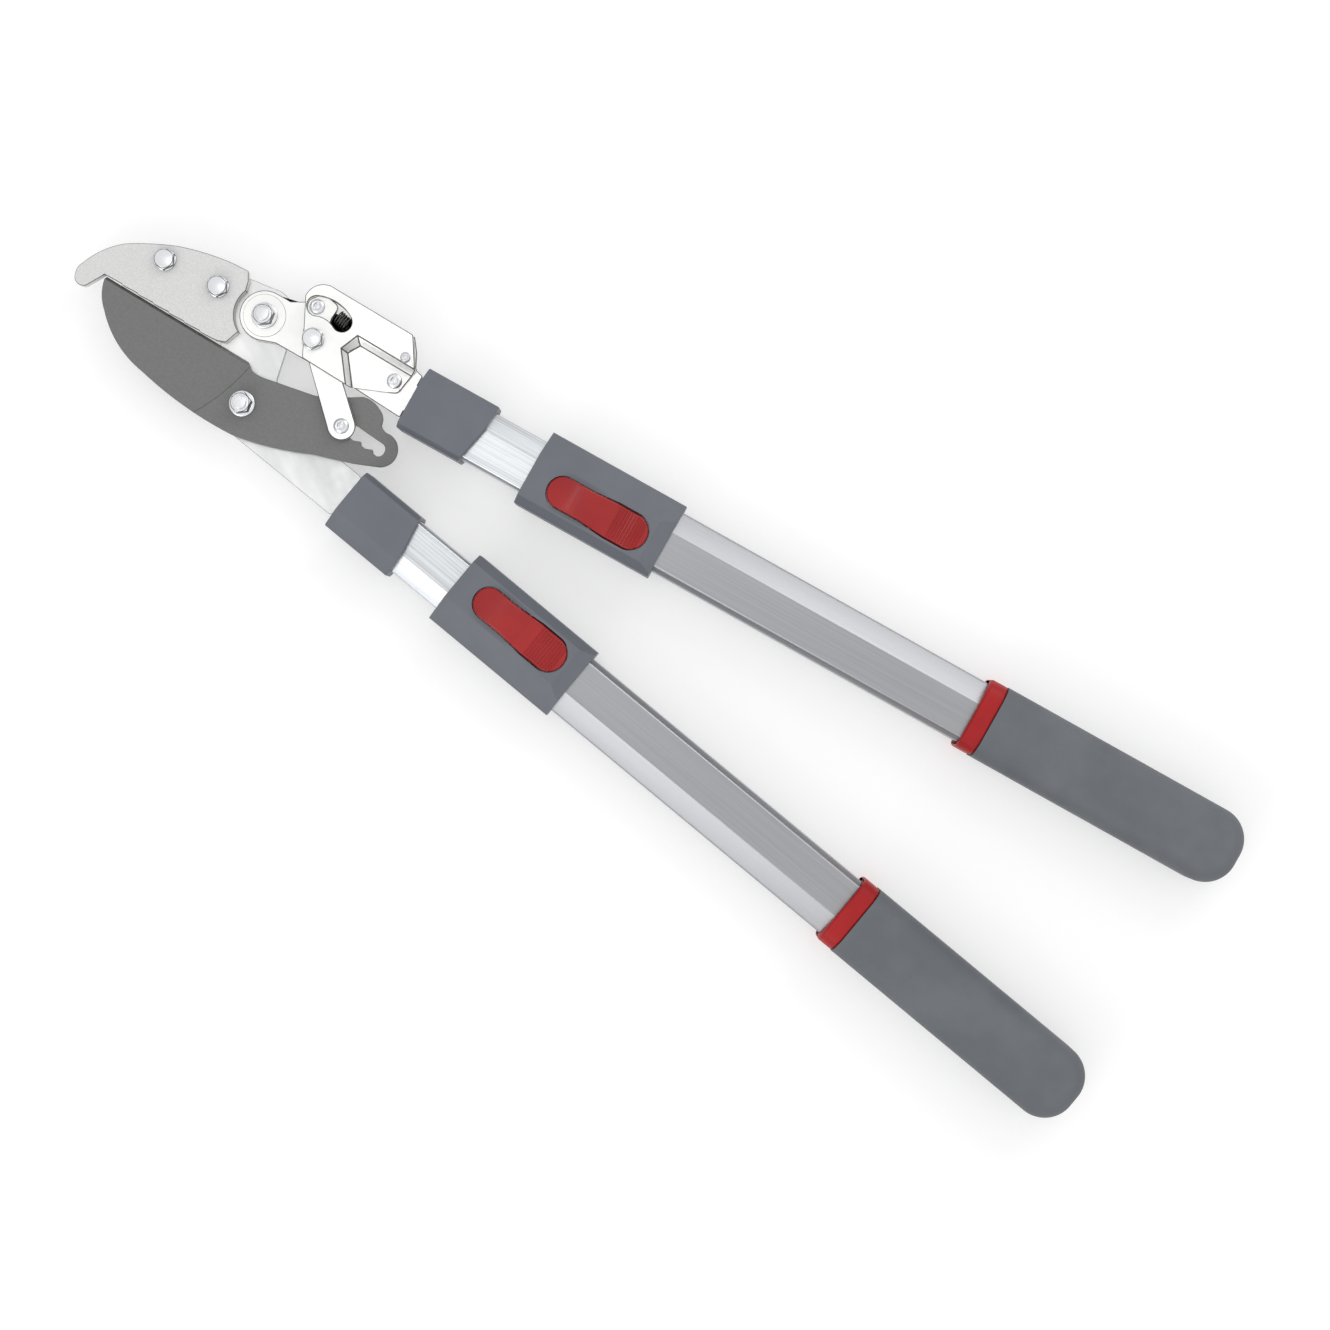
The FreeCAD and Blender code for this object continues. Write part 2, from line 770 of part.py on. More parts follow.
def make_anvil_bolts():
    """Two hex bolts through the anvil and the frame plate, with their nuts behind."""
    bolts = []
    nuts = []
    for x, y in ANVIL_BOLTS:
        head = hex_block("Sizes.bolt_head", str(x), str(y), ANVIL_TOP, turn=30.0)
        length = f"{ANVIL_TOP} - {FRAME_LEVEL} + Sizes.bolt_head + 1"
        shank = cylinder("Sizes.bolt_radius", length, str(x), str(y), f"{FRAME_LEVEL} - Sizes.bolt_head - 1")
        bolts.append(joined(head, shank))
        under = f"{FRAME_LEVEL} - Sizes.bolt_head"
        nut = hex_block("Sizes.bolt_head", str(x), str(y), under, upside_down=True, turn=10.0)
        nuts.append(cut(nut, cylinder("Sizes.bolt_radius", "Sizes.bolt_head", str(x), str(y), under)))
    group("anvil_bolts", bolts)
    group("anvil_nuts", nuts)


def make_pivot(label, x, y, top):
    """A pivot bolt whose head is behind the frame plate, and its flange nut in front."""
    seat = f"{top} + Sizes.plate_gap"
    head = hex_block("Sizes.bolt_head", x, y, f"{FRAME_LEVEL} - Sizes.bolt_head", upside_down=True)
    length = f"{seat} + Sizes.flange_nut + 1.2 - {FRAME_LEVEL}"
    shank = cylinder("Sizes.pivot_bolt_radius", length, x, y, FRAME_LEVEL)
    node(f"{label}_bolt", joined(head, shank))
    flange = cone("Sizes.flange_radius", "Sizes.bolt_flats / 2", "Sizes.flange_height", x, y, seat)
    hexagon = hex_block("Sizes.flange_nut", x, y, seat, turn=12.0)
    hole = cylinder("Sizes.pivot_bolt_radius", "Sizes.flange_nut", x, y, seat)
    node(f"{label}_nut", cut(joined(flange, hexagon), hole))


def make_link_bolt():
    """Hex bolt that the link turns on, and the thin nut behind the arm plate."""
    x = "Sizes.link_pivot_x"
    y = "Sizes.link_pivot_y"
    under = f"{ARM_LEVEL} - Sizes.thin_nut"
    head = hex_block("Sizes.bolt_head", x, y, PLATEAU_TOP, turn=30.0)
    shank = cylinder("Sizes.bolt_radius", f"{PLATEAU_TOP} - ({under})", x, y, under)
    node("link_pivot_bolt", joined(head, shank))
    nut = hex_block("Sizes.thin_nut", x, y, under, upside_down=True)
    hole = cylinder("Sizes.bolt_radius", "Sizes.thin_nut", x, y, under)
    node("link_pivot_nut", cut(nut, hole))


def rivet(radius, head, bottom, top, x, y, tail="0.0"):
    """A rivet with a low domed head on top, and a smaller one below where a tail is given."""
    shank = cylinder(radius, f"{top} - ({bottom})", x, y, bottom)
    rim = cylinder(head, "Sizes.rivet_height / 2", x, y, top)
    dome = cone(head, f"{head} * 0.6", "Sizes.rivet_height / 2", x, y, f"{top} + Sizes.rivet_height / 2")
    items = [shank, rim, dome]
    if tail != "0.0":
        items.append(cylinder(f"{radius} * 1.6", tail, x, y, f"{bottom} - {tail}"))
    return joined(*items)


def make_rivets():
    """Cover rivets, the ratchet pin in the blade's slot and the spring's rivet on the link."""
    low_x, low_y = COVER_RIVETS[0]
    high_x, high_y = COVER_RIVETS[1]
    shank = "Sizes.tang_rivet_radius"
    low = rivet(shank, "Sizes.rivet_head", ARM_LEVEL, f"{ARM_TOP} + Sizes.cover_thickness",
                str(low_x), str(low_y), "1.0")
    high = rivet(shank, "Sizes.rivet_head * 0.7", ARM_LEVEL, PLATEAU_TOP, str(high_x), str(high_y), "1.0")
    group("cover_rivets", [low, high])
    pin = rivet("Sizes.ratchet_pin_radius", "Sizes.rivet_head", f"{ARM_LEVEL} + Sizes.plate_gap",
                LINK_TOP, "Sizes.ratchet_pin_x", "Sizes.ratchet_pin_y")
    node("ratchet_pin", pin)
    x, y = spring_rivet_place()
    stud = rivet("Sizes.ratchet_pin_radius", "Sizes.rivet_head", LINK_LEVEL, LINK_TOP, str(x), str(y), "1.0")
    node("spring_rivet", stud)


def coil(radius, wire, turns, length):
    """A coil of round wire about the z axis."""
    helix = document.addObject("Part::Helix", "helix")
    helix.setExpression("Radius", radius)
    helix.setExpression("Pitch", f"({length}) / {turns}")
    helix.setExpression("Height", length)
    helix.Style = 1
    ring = document.addObject("Part::Circle", "wire_section")
    ring.setExpression("Radius", f"{wire} / 2")
    ring.Placement = Placement(Vector(), Rotation(Vector(1, 0, 0), 90))
    ring.setExpression("Placement.Base.x", radius)
    document.recompute()
    sweep = document.addObject("Part::Sweep", "coil")
    sweep.Sections = [ring]
    sweep.Spine = (helix, [f"Edge{index}" for index in range(1, len(helix.Shape.Edges) + 1)])
    sweep.Solid = True
    sweep.Frenet = True
    return sweep


def make_ratchet_spring():
    """Coil spring in the arc window, between the link's lobe and the window's end."""
    spring = coil("Sizes.spring_radius", "Sizes.spring_wire", "Sizes.spring_turns", "Sizes.spring_length")
    x, y = polar(size("link_pivot_x"), size("link_pivot_y"), size("window_radius"), size("spring_start"))
    lay = Rotation(Vector(0, 0, 1), -8.0).multiply(Rotation(Vector(0, 1, 0), 90))
    spring.Placement = Placement(Vector(x, y, 0), lay)
    group("ratchet_spring", [spring], height=f"{ARM_TOP} + Sizes.plate_gap + Sizes.link_thickness / 2")


# ---------------------------------------------------------------- handles

def tube_section(inset=0.0):
    """Tube outline (y outward, z up), moved inward by a distance: flat, with a wide outer bevel."""
    half_width = size("tube_half_width")
    top = size("tube_half_height")
    return faceted(
        half_width,
        half_width,
        half_width - size("tube_bevel_inner"),
        half_width - size("tube_bevel_outer"),
        top,
        top - size("tube_drop_inner"),
        top - size("tube_drop_outer"),
        inset,
    )


def faceted(inner, outer, flat_inner, flat_outer, top, side_inner, side_outer, inset=0.0):
    """Corner points of an eight-sided section, moved inward all round by the inset."""
    right = [(outer, side_outer), (flat_outer, top), (-flat_inner, top), (-inner, side_inner)]
    points = right + [(y, -z) for y, z in reversed(right)]
    moved = []
    for index, (y, z) in enumerate(points):
        back = Vector(*points[index - 1], 0) - Vector(y, z, 0)
        ahead = Vector(*points[(index + 1) % len(points)], 0) - Vector(y, z, 0)
        back.normalize()
        ahead.normalize()
        half = back.getAngle(ahead) / 2
        inward = (back + ahead).normalize() * (inset / math.sin(half))
        moved.append((y + inward.x, z + inward.y))
    return moved


def section_items(points, side, radius):
    """A section's corners as an outline, with y turned over for the lower handle."""
    return [corner(y * side, z, radius) for y, z in points]


def lock_places():
    """Where the lock holes lie along the handle: as many as the inner tube has room for."""
    first = size("lock_peg_place")
    last = value(f"{INNER_TUBE_END} - Sizes.lock_hole_radius")
    count = 1 + int((last - first) / size("lock_pitch"))
    return [first + number * size("lock_pitch") for number in range(count)]


def make_inner_tube(name, side):
    """Inner tube: bright aluminium, with a row of lock holes in its upper flat."""
    body = new_body(f"{name}_inner_tube")
    nest = size("tube_wall") + size("tube_gap")
    sketch = draw(body, "YZ_Plane", section_items(tube_section(nest), side, 1.6), "Sizes.inner_tube_start")
    for edge in outline_edges(section_items(tube_section(nest + size("tube_wall")), side, 0.8)):
        sketch.addGeometry(edge, False)
    pad(body, sketch, f"{INNER_TUBE_END} - Sizes.inner_tube_start")
    centre = size("lever_centre") * side
    locks = [(along, centre, "Sizes.lock_hole_radius") for along in lock_places()]
    rivets = [(along, 0, "Sizes.tang_rivet_radius") for along in tang_rivet_places()]
    above = draw(body, "XY_Plane", circles=locks + rivets)
    pocket(body, above, "Sizes.tube_half_height", along_normal=True)
    pocket(body, draw(body, "XY_Plane", circles=rivets), "Sizes.tube_half_height")
    place(body, name, TUBE_LEVEL)


def make_bush(name, side):
    """Plastic bush in the inner tube's far end, which runs inside the outer tube."""
    body = new_body(f"{name}_tube_bush")
    wall = size("tube_wall")
    head = section_items(tube_section(wall + size("slide_gap")), side, 1.0)
    pad(body, draw(body, "YZ_Plane", head, INNER_TUBE_END), "Sizes.bush_length")
    spigot = section_items(tube_section(2 * wall + size("tube_gap")), side, 0.8)
    pad(body, draw(body, "YZ_Plane", spigot, f"{INNER_TUBE_END} - Sizes.bush_length"), "Sizes.bush_length")
    place(body, name, TUBE_LEVEL)


def make_outer_tube(name, side):
    """Outer tube: satin aluminium, with a slot under the lever for the lock peg."""
    body = new_body(f"{name}_outer_tube")
    sketch = draw(body, "YZ_Plane", section_items(tube_section(), side, 2.0), "Sizes.outer_tube_start")
    for edge in outline_edges(section_items(tube_section(size("tube_wall")), side, 0.8)):
        sketch.addGeometry(edge, False)
    pad(body, sketch, "Sizes.outer_tube_length")
    half = size("lock_peg_radius") + 1.0
    along = size("lock_peg_place")
    centre = size("lever_centre")
    slot = [
        corner(along - half - 1, centre - half, 1.5),
        corner(along + half + 1, centre - half, 1.5),
        corner(along + half + 1, centre + half, 1.5),
        corner(along - half - 1, centre + half, 1.5),
    ]
    pocket(body, draw(body, "XY_Plane", mirrored(slot, side)), "Sizes.tube_half_height", along_normal=True)
    place(body, name, TUBE_LEVEL)


def make_collar(name, side):
    """Moulded collar over the tang and the inner tube's end, cut at a slant at the back."""
    body = new_body(f"{name}_collar")
    half_width = value(COLLAR_HALF_WIDTH)
    half_height = value(COLLAR_HALF_HEIGHT)
    shell = faceted(half_width - 0.7, half_width + 0.6, half_width - 3.2, half_width - 9.4, half_height,
                    half_height - 3.5, half_height - 6.0)
    pad(body, draw(body, "YZ_Plane", section_items(shell, side, 1.6)), "Sizes.collar_length")
    nest = size("tube_wall") + size("tube_gap")
    bore = section_items(tube_section(nest), side, 1.6)
    sketch = draw(body, "YZ_Plane", bore, "Sizes.inner_tube_start")
    pocket(body, sketch, "Sizes.collar_length", along_normal=True)
    wide = half_width * 2
    length = size("collar_length")
    slant = [corner(length, 5.0), corner(length + 5, 5.0), corner(length + 5, -wide)]
    slant += [corner(length - size("collar_slant") - 2.5, -wide)]
    sketch = draw(body, "XY_Plane", mirrored(slant, side), f"-{COLLAR_HALF_HEIGHT} - 1")
    pocket(body, sketch, f"2 * {COLLAR_HALF_HEIGHT} + 2", along_normal=True)
    cut_tang_slot(body, name)
    rivets = [(along, 0, "Sizes.tang_rivet_radius * 2") for along in tang_rivet_places()]
    reach = "Sizes.tube_half_height"
    pocket(body, draw(body, "XY_Plane", circles=rivets), reach, along_normal=True)
    pocket(body, draw(body, "XY_Plane", circles=rivets), reach)
    place(body, name, TUBE_LEVEL)


def tang_band(name):
    """Bottom and thickness of a handle's tang, from the tube's middle."""
    if name == "upper":
        return f"{ARM_LEVEL} - {TUBE_LEVEL}", "Sizes.arm_thickness"
    return f"{FRAME_LEVEL} - {TUBE_LEVEL}", "Sizes.frame_thickness"


def cut_tang_slot(body, name):
    """Slot for the plate's tang, from the front of the body inwards."""
    bottom, thickness = tang_band(name)
    half = size("tang_half_width")
    end = size("tang_length")
    items = [corner(-5, -half), corner(end, -half), corner(end, half), corner(-5, half)]
    pocket(body, draw(body, "XY_Plane", items, bottom), thickness, along_normal=True)


def make_tang_block(name, side):
    """Plastic block that fills the inner tube round the tang."""
    body = new_body(f"{name}_tang_block")
    fill = section_items(tube_section(2 * size("tube_wall") + size("tube_gap")), side, 0.8)
    pad(body, draw(body, "YZ_Plane", fill, "Sizes.inner_tube_start"), "Sizes.tang_length")
    cut_tang_slot(body, name)
    rivets = [(along, 0, "Sizes.tang_rivet_radius") for along in tang_rivet_places()]
    sketch = draw(body, "XY_Plane", offset="-Sizes.tube_half_height", circles=rivets)
    pocket(body, sketch, "2 * Sizes.tube_half_height", along_normal=True)
    place(body, name, TUBE_LEVEL)


def make_tang_rivets(name):
    """Two rivets through tube, block and tang, hidden under the collar."""
    nest = "Sizes.tube_half_height - Sizes.tube_wall - Sizes.tube_gap"
    head = "Sizes.tang_rivet_radius * 1.8"
    items = []
    for along in map(str, tang_rivet_places()):
        shank = cylinder("Sizes.tang_rivet_radius", f"2 * ({nest})", along, "0", f"-({nest})")
        upper = cylinder(head, "1.0", along, "0", nest)
        lower = cylinder(head, "1.0", along, "0", f"-({nest}) - 1.0")
        items.append(joined(shank, upper, lower))
    group(f"{name}_tang_rivets", items, name, TUBE_LEVEL)


def lever_outline(gap):
    """The lever seen from above: a narrow head that widens past the pin to the thumb end."""
    centre = size("lever_centre")
    start = size("lever_start") - gap
    end = size("lever_start") + size("lever_length") + gap
    neck = size("lever_start") + size("lever_length") / 2
    head = size("lever_head_half") + gap
    thumb = size("lever_thumb_half") + gap
    return [
        corner(start, centre - head, head - 0.2),
        corner(neck - 6, centre - head, 12.0),
        corner(neck + 8, centre - thumb, 12.0),
        corner(end, centre - thumb, thumb - 0.2),
        corner(end, centre + thumb, thumb - 0.2),
        corner(neck + 8, centre + thumb, 12.0),
        corner(neck - 6, centre + head, 12.0),
        corner(start, centre + head, head - 0.2),
    ]


def lever_pin_along():
    """Where the lever's pin lies along the handle: at the lever's neck."""
    return size("lever_start") + size("lever_length") / 2


def lever_pin_height():
    """Height of the lever's pin above the tube's middle."""
    return size("tube_half_height") + size("lever_lift") + size("lever_pin_radius") + 0.5


def make_sleeve(name, side):
    """Moulded lock sleeve: clamps the outer tube, guides the inner one and holds the lever."""
    body = new_body(f"{name}_lock_sleeve")
    half_width = value(SLEEVE_HALF_WIDTH)
    half_height = value(GRIP_HALF_HEIGHT)
    shell = faceted(half_width + 0.3, half_width - 0.2, half_width - 4.7, half_width - 14.2, half_height,
                    half_height - 5.0, half_height - 9.0)
    outer = section_items(shell, side, 1.8)
    pad(body, draw(body, "YZ_Plane", outer, "Sizes.sleeve_start"), "Sizes.sleeve_length")
    bore = section_items(tube_section(), side, 2.0)
    sketch = draw(body, "YZ_Plane", bore, "Sizes.outer_tube_start")
    pocket(body, sketch, "Sizes.sleeve_length", along_normal=True)
    guide = section_items(tube_section(size("tube_wall") + size("tube_gap") - size("slide_gap")), side, 1.6)
    sketch = draw(body, "YZ_Plane", guide, "Sizes.sleeve_start - 1")
    pocket(body, sketch, "Sizes.sleeve_length", along_normal=True)
    end = size("sleeve_start") + size("sleeve_length")
    slope = end - size("sleeve_slope_length")
    drop = size("sleeve_slope_depth")
    for turn in (1, -1):
        wedge = [
            corner(slope, half_height * turn),
            corner(end, (half_height - drop) * turn),
            corner(end + 2, (half_height - drop) * turn),
            corner(end + 2, (half_height + 2) * turn),
            corner(slope, (half_height + 2) * turn),
        ]
        sketch = draw(body, "XZ_Plane", wedge, f"-2 * {SLEEVE_HALF_WIDTH}")
        pocket(body, sketch, f"4 * {SLEEVE_HALF_WIDTH}", along_normal=True)
    well = mirrored(lever_outline(size("lever_gap")), side)
    pocket(body, draw(body, "XY_Plane", well), f"2 * {GRIP_HALF_HEIGHT}", along_normal=True)
    cut_pin_hole(body, side, "Sizes.lever_pin_radius")
    screws = [(along, 0, "Sizes.screw_radius") for along in screw_places()]
    sketch = draw(body, "XY_Plane", offset=f"-{GRIP_HALF_HEIGHT}", circles=screws)
    pocket(body, sketch, "Sizes.grip_rise", along_normal=True)
    place(body, name, TUBE_LEVEL)


def screw_places():
    """Where the sleeve's two screws lie along the handle."""
    start = size("sleeve_start")
    return [start + 12.0, start + size("sleeve_length") - 16.0]


def cut_pin_hole(body, side, radius):
    """Cross hole for the lever's pin."""
    middle = size("lever_centre") * side
    hole = [(lever_pin_along(), lever_pin_height(), radius)]
    sketch = draw(body, "XZ_Plane", offset=f"{-middle} - Sizes.lever_pin_length / 2", circles=hole)
    pocket(body, sketch, "Sizes.lever_pin_length", along_normal=True)


def make_screws(name):
    """Two screws that hold the sleeve to the outer tube from below."""
    items = []
    depth = "Sizes.grip_rise - Sizes.screw_recess"
    under = f"-{GRIP_HALF_HEIGHT} + Sizes.screw_recess"
    for along in screw_places():
        screw = cylinder("Sizes.screw_radius", depth, str(along), "0", under)
        slot = document.addObject("Part::Box", "driver_slot")
        slot.setExpression("Length", "Sizes.screw_radius * 1.4")
        slot.setExpression("Width", "Sizes.screw_radius * 0.3")
        slot.setExpression("Height", "Sizes.screw_radius * 0.3")
        slot.setExpression("Placement.Base.x", f"{along} - Sizes.screw_radius * 0.7")
        slot.setExpression("Placement.Base.y", "-Sizes.screw_radius * 0.15")
        slot.setExpression("Placement.Base.z", f"{under} - 0.01")
        items.append(cut(screw, slot))
    group(f"{name}_sleeve_screws", items, name, TUBE_LEVEL)


def make_lever(name, side):
    """Lock lever: domed over the peg, necked at its pin and hollowed for the thumb."""
    body = new_body(f"{name}_lock_lever")
    bottom = size("tube_half_height") + size("lever_lift")
    top = value(f"{GRIP_HALF_HEIGHT} + Sizes.lever_crown")
    sketch = draw(body, "XY_Plane", mirrored(lever_outline(0), side), str(bottom))
    pad(body, sketch, str(top - bottom))
    start = size("lever_start") - 1
    end = size("lever_start") + size("lever_length") + 1
    neck = lever_pin_along()
    over = [
        corner(start, top - 4.0),
        via(start + 15, top - 0.05),
        corner(neck + 2, top - 2.6),
        via(neck + 18, top - 4.0),
        corner(end, top - 1.4),
        corner(end, top + 3),
        corner(start, top + 3),
    ]
    under = [
        corner(neck, bottom),
        corner(end, bottom + 2.4),
        corner(end, bottom - 2),
        corner(neck, bottom - 2),
    ]
    for items in (over, under):
        sketch = draw(body, "XZ_Plane", items, f"-2 * {SLEEVE_HALF_WIDTH}")
        pocket(body, sketch, f"4 * {SLEEVE_HALF_WIDTH}", along_normal=True)
    rim_level = top - 5.0

    def on_upper_rim(edge):
        return edge.BoundBox.ZMin > rim_level and edge.BoundBox.XLength > 0.01

    round_edges(body, "Sizes.lever_edge_round", on_upper_rim)
    cut_pin_hole(body, side, "Sizes.lever_pin_radius + Sizes.running_gap")
    place(body, name, TUBE_LEVEL)


def make_lever_fittings(name, side):
    """Pin, lock peg and return spring of the lever."""
    middle = size("lever_centre") * side
    pin = cylinder("Sizes.lever_pin_radius", "Sizes.lever_pin_length")
    laid = Rotation(Vector(1, 0, 0), 90)
    reach = middle + size("lever_pin_length") / 2
    pin.Placement = Placement(Vector(lever_pin_along(), reach, lever_pin_height()), laid)
    for axis in "xyz":
        pin.setExpression(f"Placement.Base.{axis}", None)
    group(f"{name}_lever_pin", [pin], name, TUBE_LEVEL)
    tip = "Sizes.tube_half_height - Sizes.tube_wall - Sizes.tube_gap + Sizes.slide_gap"
    root = "Sizes.tube_half_height + Sizes.lever_lift"
    peg = cylinder("Sizes.lock_peg_radius", f"{root} - ({tip})", "Sizes.lock_peg_place", str(middle), tip)
    group(f"{name}_lock_peg", [peg], name, TUBE_LEVEL)
    make_lever_spring(name, middle)


def make_lever_spring(name, middle):
    """Bent leaf spring between the outer tube and the underside of the lever's thumb end."""
    body = new_body(f"{name}_lever_spring")
    seat = size("tube_half_height") + 0.1
    leaf = size("leaf_thickness")
    heel = lever_pin_along() + 8.0
    bend = heel + 3.0
    toe = heel + 15.0
    rise = size("lever_lift") + 0.6
    strip = [
        corner(heel, seat),
        corner(bend, seat),
        corner(toe, seat + rise),
        corner(toe, seat + rise + leaf),
        corner(bend, seat + leaf),
        corner(heel, seat + leaf),
    ]
    sketch = draw(body, "XZ_Plane", strip, f"{-middle} - Sizes.leaf_width / 2")
    pad(body, sketch, "Sizes.leaf_width")
    place(body, name, TUBE_LEVEL)


def make_ring(name, side):
    """Coloured ring between the outer tube and the grip."""
    body = new_body(f"{name}_grip_ring")
    half_width = value(RING_HALF_WIDTH)
    half_height = value(GRIP_HALF_HEIGHT) - 0.3
    shell = [corner(half_width, half_height, 9.0), corner(half_width, -half_height, 9.0)]
    shell += [corner(-half_width, -half_height, 9.0), corner(-half_width, half_height, 9.0)]
    sketch = draw(body, "YZ_Plane", shell, RING_START)
    for edge in outline_edges(section_items(tube_section(), side, 2.0)):
        sketch.addGeometry(edge, False)
    pad(body, sketch, "Sizes.ring_length")
    place(body, name, TUBE_LEVEL)


def make_grip(name, side):
    """Moulded grip over the outer tube's end, with a fully rounded butt."""
    body = new_body(f"{name}_grip")
    half_width = value(GRIP_HALF_WIDTH)
    start = value(GRIP_START)
    end = start + size("grip_length")
    butt = size("grip_end_round")
    plan = [
        corner(start, -half_width),
        corner(end, -half_width, butt),
        corner(end, half_width, butt),
        corner(start, half_width),
    ]
    sketch = draw(body, "XY_Plane", plan, f"-{GRIP_HALF_HEIGHT}")
    pad(body, sketch, f"2 * {GRIP_HALF_HEIGHT}")

    def on_rim(edge):
        centre = edge.CenterOfMass
        at_rim = abs(abs(centre.z) - value(GRIP_HALF_HEIGHT)) < 0.01
        return at_rim and centre.x > start + 0.1

    round_edges(body, "Sizes.grip_edge_round", on_rim)
    bore = section_items(tube_section(), side, 2.0)
    sketch = draw(body, "YZ_Plane", bore, GRIP_START)
    pocket(body, sketch, "Sizes.tube_in_grip", along_normal=True)
    place(body, name, TUBE_LEVEL)


def make_end_plug(name, side):
    """Plug that closes the outer tube inside the grip."""
    body = new_body(f"{name}_end_plug")
    fill = section_items(tube_section(size("tube_wall")), side, 0.8)
    pad(body, draw(body, "YZ_Plane", fill, f"{OUTER_TUBE_END} - Sizes.bush_length"), "Sizes.bush_length")
    place(body, name, TUBE_LEVEL)


# ---------------------------------------------------------------- build

make_frame_plate()
make_anvil()
make_blade()
grind_blade()
make_arm_plate()
make_cover()
make_link()
make_anvil_bolts()
make_pivot("main_pivot", "0", "0", ARM_TOP)
make_pivot("blade_pivot", "Sizes.blade_pivot_x", "Sizes.blade_pivot_y", BLADE_TOP)
make_link_bolt()
make_rivets()
make_ratchet_spring()
for side_name, side_sign in SIDES.items():
    make_collar(side_name, side_sign)
    make_tang_block(side_name, side_sign)
    make_tang_rivets(side_name)
    make_inner_tube(side_name, side_sign)
    make_bush(side_name, side_sign)
    make_outer_tube(side_name, side_sign)
    make_sleeve(side_name, side_sign)
    make_screws(side_name)
    make_lever(side_name, side_sign)
    make_lever_fittings(side_name, side_sign)
    make_ring(side_name, side_sign)
    make_grip(side_name, side_sign)
    make_end_plug(side_name, side_sign)
document.recompute()

# The origin goes under the middle of the whole tool's box.
whole = FreeCAD.BoundBox()
for item in nodes:
    whole.add(item.Shape.optimalBoundingBox(False, False))
sheet.set(f"B{ORIGIN_ROW}", str(round(whole.Center.x, 4)))
sheet.set(f"B{ORIGIN_ROW + 1}", str(round(whole.Center.y, 4)))
document.recompute()

for item in document.Objects:
    if "Invalid" in item.State or "Error" in item.State:
        raise RuntimeError(f"{item.Label} failed: {item.State}")
for item in nodes:
    if item.Shape.isNull() or not item.Shape.isValid() or not item.Shape.Solids:
        raise RuntimeError(f"{item.Label} has no valid solid")

os.makedirs("parts", exist_ok=True)
for item in nodes:
    item.Shape.exportStep(f"parts/{item.Label}.step")
print("origin", size("origin_x"), size("origin_y"), "nodes", len(nodes))
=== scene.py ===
import json
import math

import bmesh
import bpy
from mathutils import Matrix, Vector


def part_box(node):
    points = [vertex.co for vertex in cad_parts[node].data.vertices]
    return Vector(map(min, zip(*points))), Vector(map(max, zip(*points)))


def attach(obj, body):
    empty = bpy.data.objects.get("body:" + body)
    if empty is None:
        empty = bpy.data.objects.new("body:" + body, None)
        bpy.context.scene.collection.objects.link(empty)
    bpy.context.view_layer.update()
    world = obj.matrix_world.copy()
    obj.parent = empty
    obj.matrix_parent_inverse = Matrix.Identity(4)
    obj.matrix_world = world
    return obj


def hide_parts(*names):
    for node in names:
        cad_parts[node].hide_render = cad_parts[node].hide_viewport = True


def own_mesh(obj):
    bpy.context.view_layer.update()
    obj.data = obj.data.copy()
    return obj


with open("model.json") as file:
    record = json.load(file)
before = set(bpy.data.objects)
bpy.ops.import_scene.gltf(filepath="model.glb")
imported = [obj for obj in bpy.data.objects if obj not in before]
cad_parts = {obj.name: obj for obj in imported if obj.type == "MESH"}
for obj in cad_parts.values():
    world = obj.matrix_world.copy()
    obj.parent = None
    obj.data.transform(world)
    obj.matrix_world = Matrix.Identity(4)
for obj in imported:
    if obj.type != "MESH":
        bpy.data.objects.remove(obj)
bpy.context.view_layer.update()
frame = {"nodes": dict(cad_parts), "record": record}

# ---------------------------------------------------------------- light table
# A wide opal sheet, lit faintly from below, that the tool lies on.
# Its frosting shows as a faint grain.


def new_material(name, metallic=0.0):
    """An empty material of the principled kind, and its shader."""
    material = bpy.data.materials.new(name)
    material.use_nodes = True
    shader = material.node_tree.nodes["Principled BSDF"]
    shader.inputs["Metallic"].default_value = metallic
    return material, shader


def wire(material, start, end):
    """Join an output to an input."""
    material.node_tree.links.new(start, end)


def grain(material, scale, stretch=(1, 1, 1), turn=0.0, detail=3.0):
    """Noise in the object's own metres, drawn out along an axis and turned about Z."""
    nodes = material.node_tree.nodes
    place = nodes.new("ShaderNodeTexCoord")
    mapping = nodes.new("ShaderNodeMapping")
    mapping.vector_type = "TEXTURE"
    mapping.inputs["Rotation"].default_value = (0, 0, turn)
    mapping.inputs["Scale"].default_value = stretch
    noise = nodes.new("ShaderNodeTexNoise")
    noise.inputs["Scale"].default_value = scale
    noise.inputs["Detail"].default_value = detail
    wire(material, place.outputs["Object"], mapping.inputs["Vector"])
    wire(material, mapping.outputs["Vector"], noise.inputs["Vector"])
    return noise.outputs["Fac"]


def shade(material, factor, dark, light, low=0.35, high=0.65):
    """Colour that runs from dark to light as the noise rises."""
    ramp = material.node_tree.nodes.new("ShaderNodeValToRGB")
    ramp.color_ramp.elements[0].position = low
    ramp.color_ramp.elements[0].color = (*dark, 1)
    ramp.color_ramp.elements[1].position = high
    ramp.color_ramp.elements[1].color = (*light, 1)
    wire(material, factor, ramp.inputs["Fac"])
    return ramp.outputs["Color"]


def spread(material, factor, least, most, low=0.3, high=0.7):
    """A number that runs between two values as the noise rises."""
    reach = material.node_tree.nodes.new("ShaderNodeMapRange")
    reach.inputs["From Min"].default_value = low
    reach.inputs["From Max"].default_value = high
    reach.inputs["To Min"].default_value = least
    reach.inputs["To Max"].default_value = most
    wire(material, factor, reach.inputs["Value"])
    return reach.outputs["Result"]


